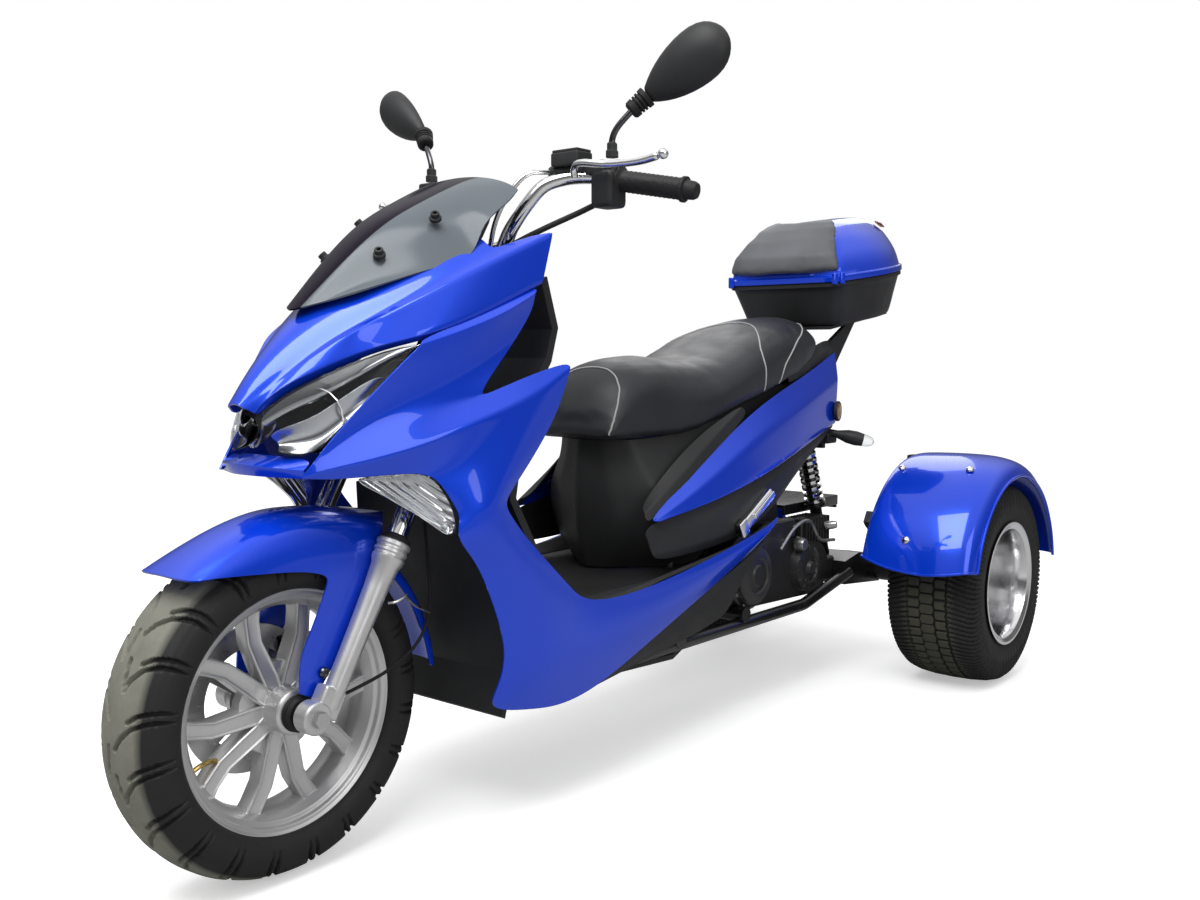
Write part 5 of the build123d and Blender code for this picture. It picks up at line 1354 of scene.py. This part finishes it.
def make_tail():
    """The seat's tub, the foot pegs, the round reflectors, the tail lamp and the lamps on their stalks."""
    tilt = Matrix.Rotation(math.radians(13), 3, "X")
    tub = [rounded_block(at(0, 1150, 628), (216, 520, 70), tilt, 16),
           rounded_block(at(0, 1400, 700), (190, 150, 84), tilt, 20)]
    joined("seat_tub", tub, "root", [], "black_plastic")
    pegs, ambers, cups, stalks, tips = [], [], [], [], []
    cup = [(0.0, 0.0), (0.0225, 0.0), (0.0235, 0.002), (0.0235, 0.006), (0.0215, 0.008)]
    amber = [(0.0, 0.0095), (0.012, 0.009), (0.0195, 0.0075), (0.0205, 0.005), (0.0, 0.004)]
    turn = Vector((0, 0.87, 0.49)).to_track_quat("Y", "Z").to_matrix()
    for flip in (1, -1):
        for place, size, radius in (((188, 1018, 437), (18, 118, 26), 6), ((190, 965, 405), (14, 26, 34), 5),
                                    ((198, 1030, 446), (8, 84, 12), 3)):
            pegs.append(rounded_block(at(flip * place[0], *place[1:]), size, turn, radius))
        cups.append(turned_mesh(cup, at(flip * 128, 1463, 615), (flip, 0.25, 0), 40))
        ambers.append(turned_mesh(amber, at(flip * 128, 1463, 615), (flip, 0.25, 0), 40))
        root, tip = at(flip * 108, 1462, 566), at(flip * 206, 1503, 543)
        way = (tip - root).normalized()
        length = (tip - root).length
        body = [(0.0, 0.0), (0.008, 0.0), (0.009, length * 0.2), (0.0155, length * 0.42),
                (0.017, length * 0.6), (0.0145, length * 0.76), (0.0, length * 0.77)]
        lens = [(0.0, length * 0.75), (0.0145, length * 0.755), (0.0135, length * 0.86),
                (0.009, length * 0.96), (0.0, length)]
        stalks.append(turned_mesh(body, root, way, 32))
        stalks.append(rounded_block(at(flip * 96, 1468, 552), (44, 44, 26), Matrix.Identity(3), 6))
        tips.append(turned_mesh(lens, root, way, 32))
    joined("peg_castings", pegs, "root", ["passenger_pegs"], "silver_paint", material=MATERIALS["aluminium"])
    joined("reflector_cups", cups, "root", [], "black_plastic")
    joined("amber_reflectors", ambers, "root", [], "red_lens", material=MATERIALS["amber"])
    joined("rear_stalks", stalks, "root", [], "black_plastic")
    joined("rear_stalk_lenses", tips, "root", [], "lamp_glass")
    joined("tail_lamp", [rounded_block(at(0, 1500, 651), (160, 48, 58), tilt, 12)], "root", ["rear_lamps"],
           "red_lens")


FENDER_TURNS = (10, 24, 40, 56, 72, 88, 104, 120, 136, 152, 164, 172)
FENDER_ACROSS = [(249, 262), (249, 277), (253, 285), (270, 290), (320, 292), (385, 293), (430, 291),
                 (465, 284), (486, 273), (494, 259), (497, 248), (499, 245)]


def fender_point(x, reach, degrees):
    """A point over a rear wheel, from its place across, its reach and its turn above the front horizon."""
    turn = math.radians(degrees)
    return (x, WHEELBASE - reach * math.cos(turn), REAR_R + reach * math.sin(turn))


def make_rear_fenders():
    """Domed fenders with rolled edges and their round-headed screws."""
    rows = []
    for degrees in FENDER_TURNS:
        low = max(0.0, 1 - (degrees + 16) / 60)
        back = max(0.0, (degrees - 110) / 62)
        row = []
        for x, reach in FENDER_ACROSS:
            lift = 12 * low * (abs(x - 385) / 118) ** 2
            row.append(fender_point(x, reach - max(0, reach - 262) * back * 0.6, degrees + lift * 0.6))
        rows.append(row)
    sides = [[row[column] for row in rows] for column in (0, -1)]
    shell("rear_fender_skins", "root", ["rear_fenders"], "blue_plastic", [rows],
          [(0.8, rows[0]), (0.9, rows[-1]), (0.85, sides[0]), (0.85, sides[1])], inside=(385, WHEELBASE, 229))
    dome = [(0.0, 0.0045), (0.004, 0.0042), (0.0075, 0.0025), (0.009, 0.0), (0.009, -0.002)]
    edges, domes = [], []
    for flip in (1, -1):
        for line, radius, steps in ((sides[0], 0.0032, 4), (sides[1], 0.0032, 4), (rows[0], 0.003, 3)):
            edges.append(tube_mesh([at(flip * x, behind, z) for x, behind, z in line], radius, 8, steps))
        for x, reach, degrees, lean in ((276, 290, 64, 0.02), (430, 291, 66, 0.0), (350, 291, 24, 0.0)):
            middle = at(*fender_point(flip * x, reach, degrees))
            out = middle - at(flip * x, WHEELBASE, 229)
            out.x = lean * flip
            domes.append(turned_mesh(dome, middle, out, 24))
    joined("rear_fender_edges", edges, "root", [], "blue_plastic")
    joined("rear_fender_screws", domes, "root", [], "steel", material=MATERIALS["chrome"])


# Stage, lamps and world

def make_stage():
    """A pale floor that keeps the trike's shadow, and shows white around it."""
    material, tree = new_material("floor")
    light = tree.nodes.new("ShaderNodeLightPath")
    pale = ramp(tree, noise(tree, 2, 2), (0.2, 0.78), (0.8, 0.8))
    shade = mix(tree, light.outputs["Is Camera Ray"], (0.4, 0.4, 0.4), pale)
    diffuse = add(tree, "BsdfDiffuse", Color=shade)
    lift = add(tree, "Emission", Color=(1, 1, 1, 1), Strength=0.42)
    dark = add(tree, "Emission", Color=(0, 0, 0, 1), Strength=0.0)
    seen = add(tree, "MixShader", Fac=light.outputs["Is Camera Ray"], _1=dark.outputs[0], _2=lift.outputs[0])
    both = add(tree, "AddShader", _0=diffuse.outputs[0], _1=seen.outputs[0])
    surface(tree, both)
    mesh = bpy.data.meshes.new("floor")
    reach = 12.0
    mesh.from_pydata([(-reach, -reach, 0), (reach, -reach, 0), (reach, reach, 0), (-reach, reach, 0)], [],
                     [(0, 1, 2, 3)])
    mesh.materials.append(material)
    floor = bpy.data.objects.new("floor", mesh)
    bpy.context.scene.collection.objects.link(floor)


def make_world():
    """White to the camera; to everything else a bright sky over a darker band at eye height."""
    world = bpy.data.worlds.new("world")
    bpy.context.scene.world = world
    world.use_nodes = True
    tree = world.node_tree
    tree.nodes.clear()
    out = tree.nodes.new("ShaderNodeOutputWorld")
    direction = tree.nodes.new("ShaderNodeTexCoord").outputs["Generated"]
    height = add(tree, "SeparateXYZ", Vector=direction).outputs["Z"]
    sky = ramp(tree, height, (0.0, 0.36), (0.04, 0.24), (0.2, 0.34), (0.5, 0.75), (1.0, 0.95))
    shine = ramp(tree, height, (0.0, 0.38), (0.04, 0.1), (0.25, 0.16), (0.5, 0.5), (0.75, 1.0))
    light = tree.nodes.new("ShaderNodeLightPath")
    gloss = mix(tree, light.outputs["Is Glossy Ray"], sky, shine)
    clear = mix(tree, light.outputs["Is Transmission Ray"], gloss, (1, 1, 1))
    seen = mix(tree, light.outputs["Is Camera Ray"], clear, (1, 1, 1))
    back = add(tree, "Background", Color=seen, Strength=1.0)
    tree.links.new(back.outputs[0], out.inputs["Surface"])


def lamp(name, place, aim, size, watts):
    """A square soft lamp at a place, turned to a point."""
    data = bpy.data.lights.new(name, "AREA")
    data.size = size
    data.energy = watts
    piece = bpy.data.objects.new(name, data)
    piece.location = place
    piece.rotation_euler = (Vector(aim) - Vector(place)).to_track_quat("-Z", "Y").to_euler()
    bpy.context.scene.collection.objects.link(piece)


make_camera()
make_stage()
make_world()
make_front_panels()
make_front_fender()
make_windscreen()
make_headlamps()
make_turn_lamps()
make_middle_panels()
make_seat()
make_top_box()
make_front_wheel()
make_rear_wheels()
make_fork()
make_bars()
make_bolts()
make_instruments()
make_engine()
make_tail()
make_rear_fenders()
lamp("key", (0.5, -1.9, 3.5), (0, -0.1, 0.5), 2.4, 120)
lamp("side", (3.4, -1.0, 1.9), (0, 0.0, 0.5), 1.8, 24)
lamp("rear", (-1.5, 2.8, 2.6), (0, 0.2, 0.6), 2.0, 22)

bpy.context.scene.view_settings.view_transform = "Standard"
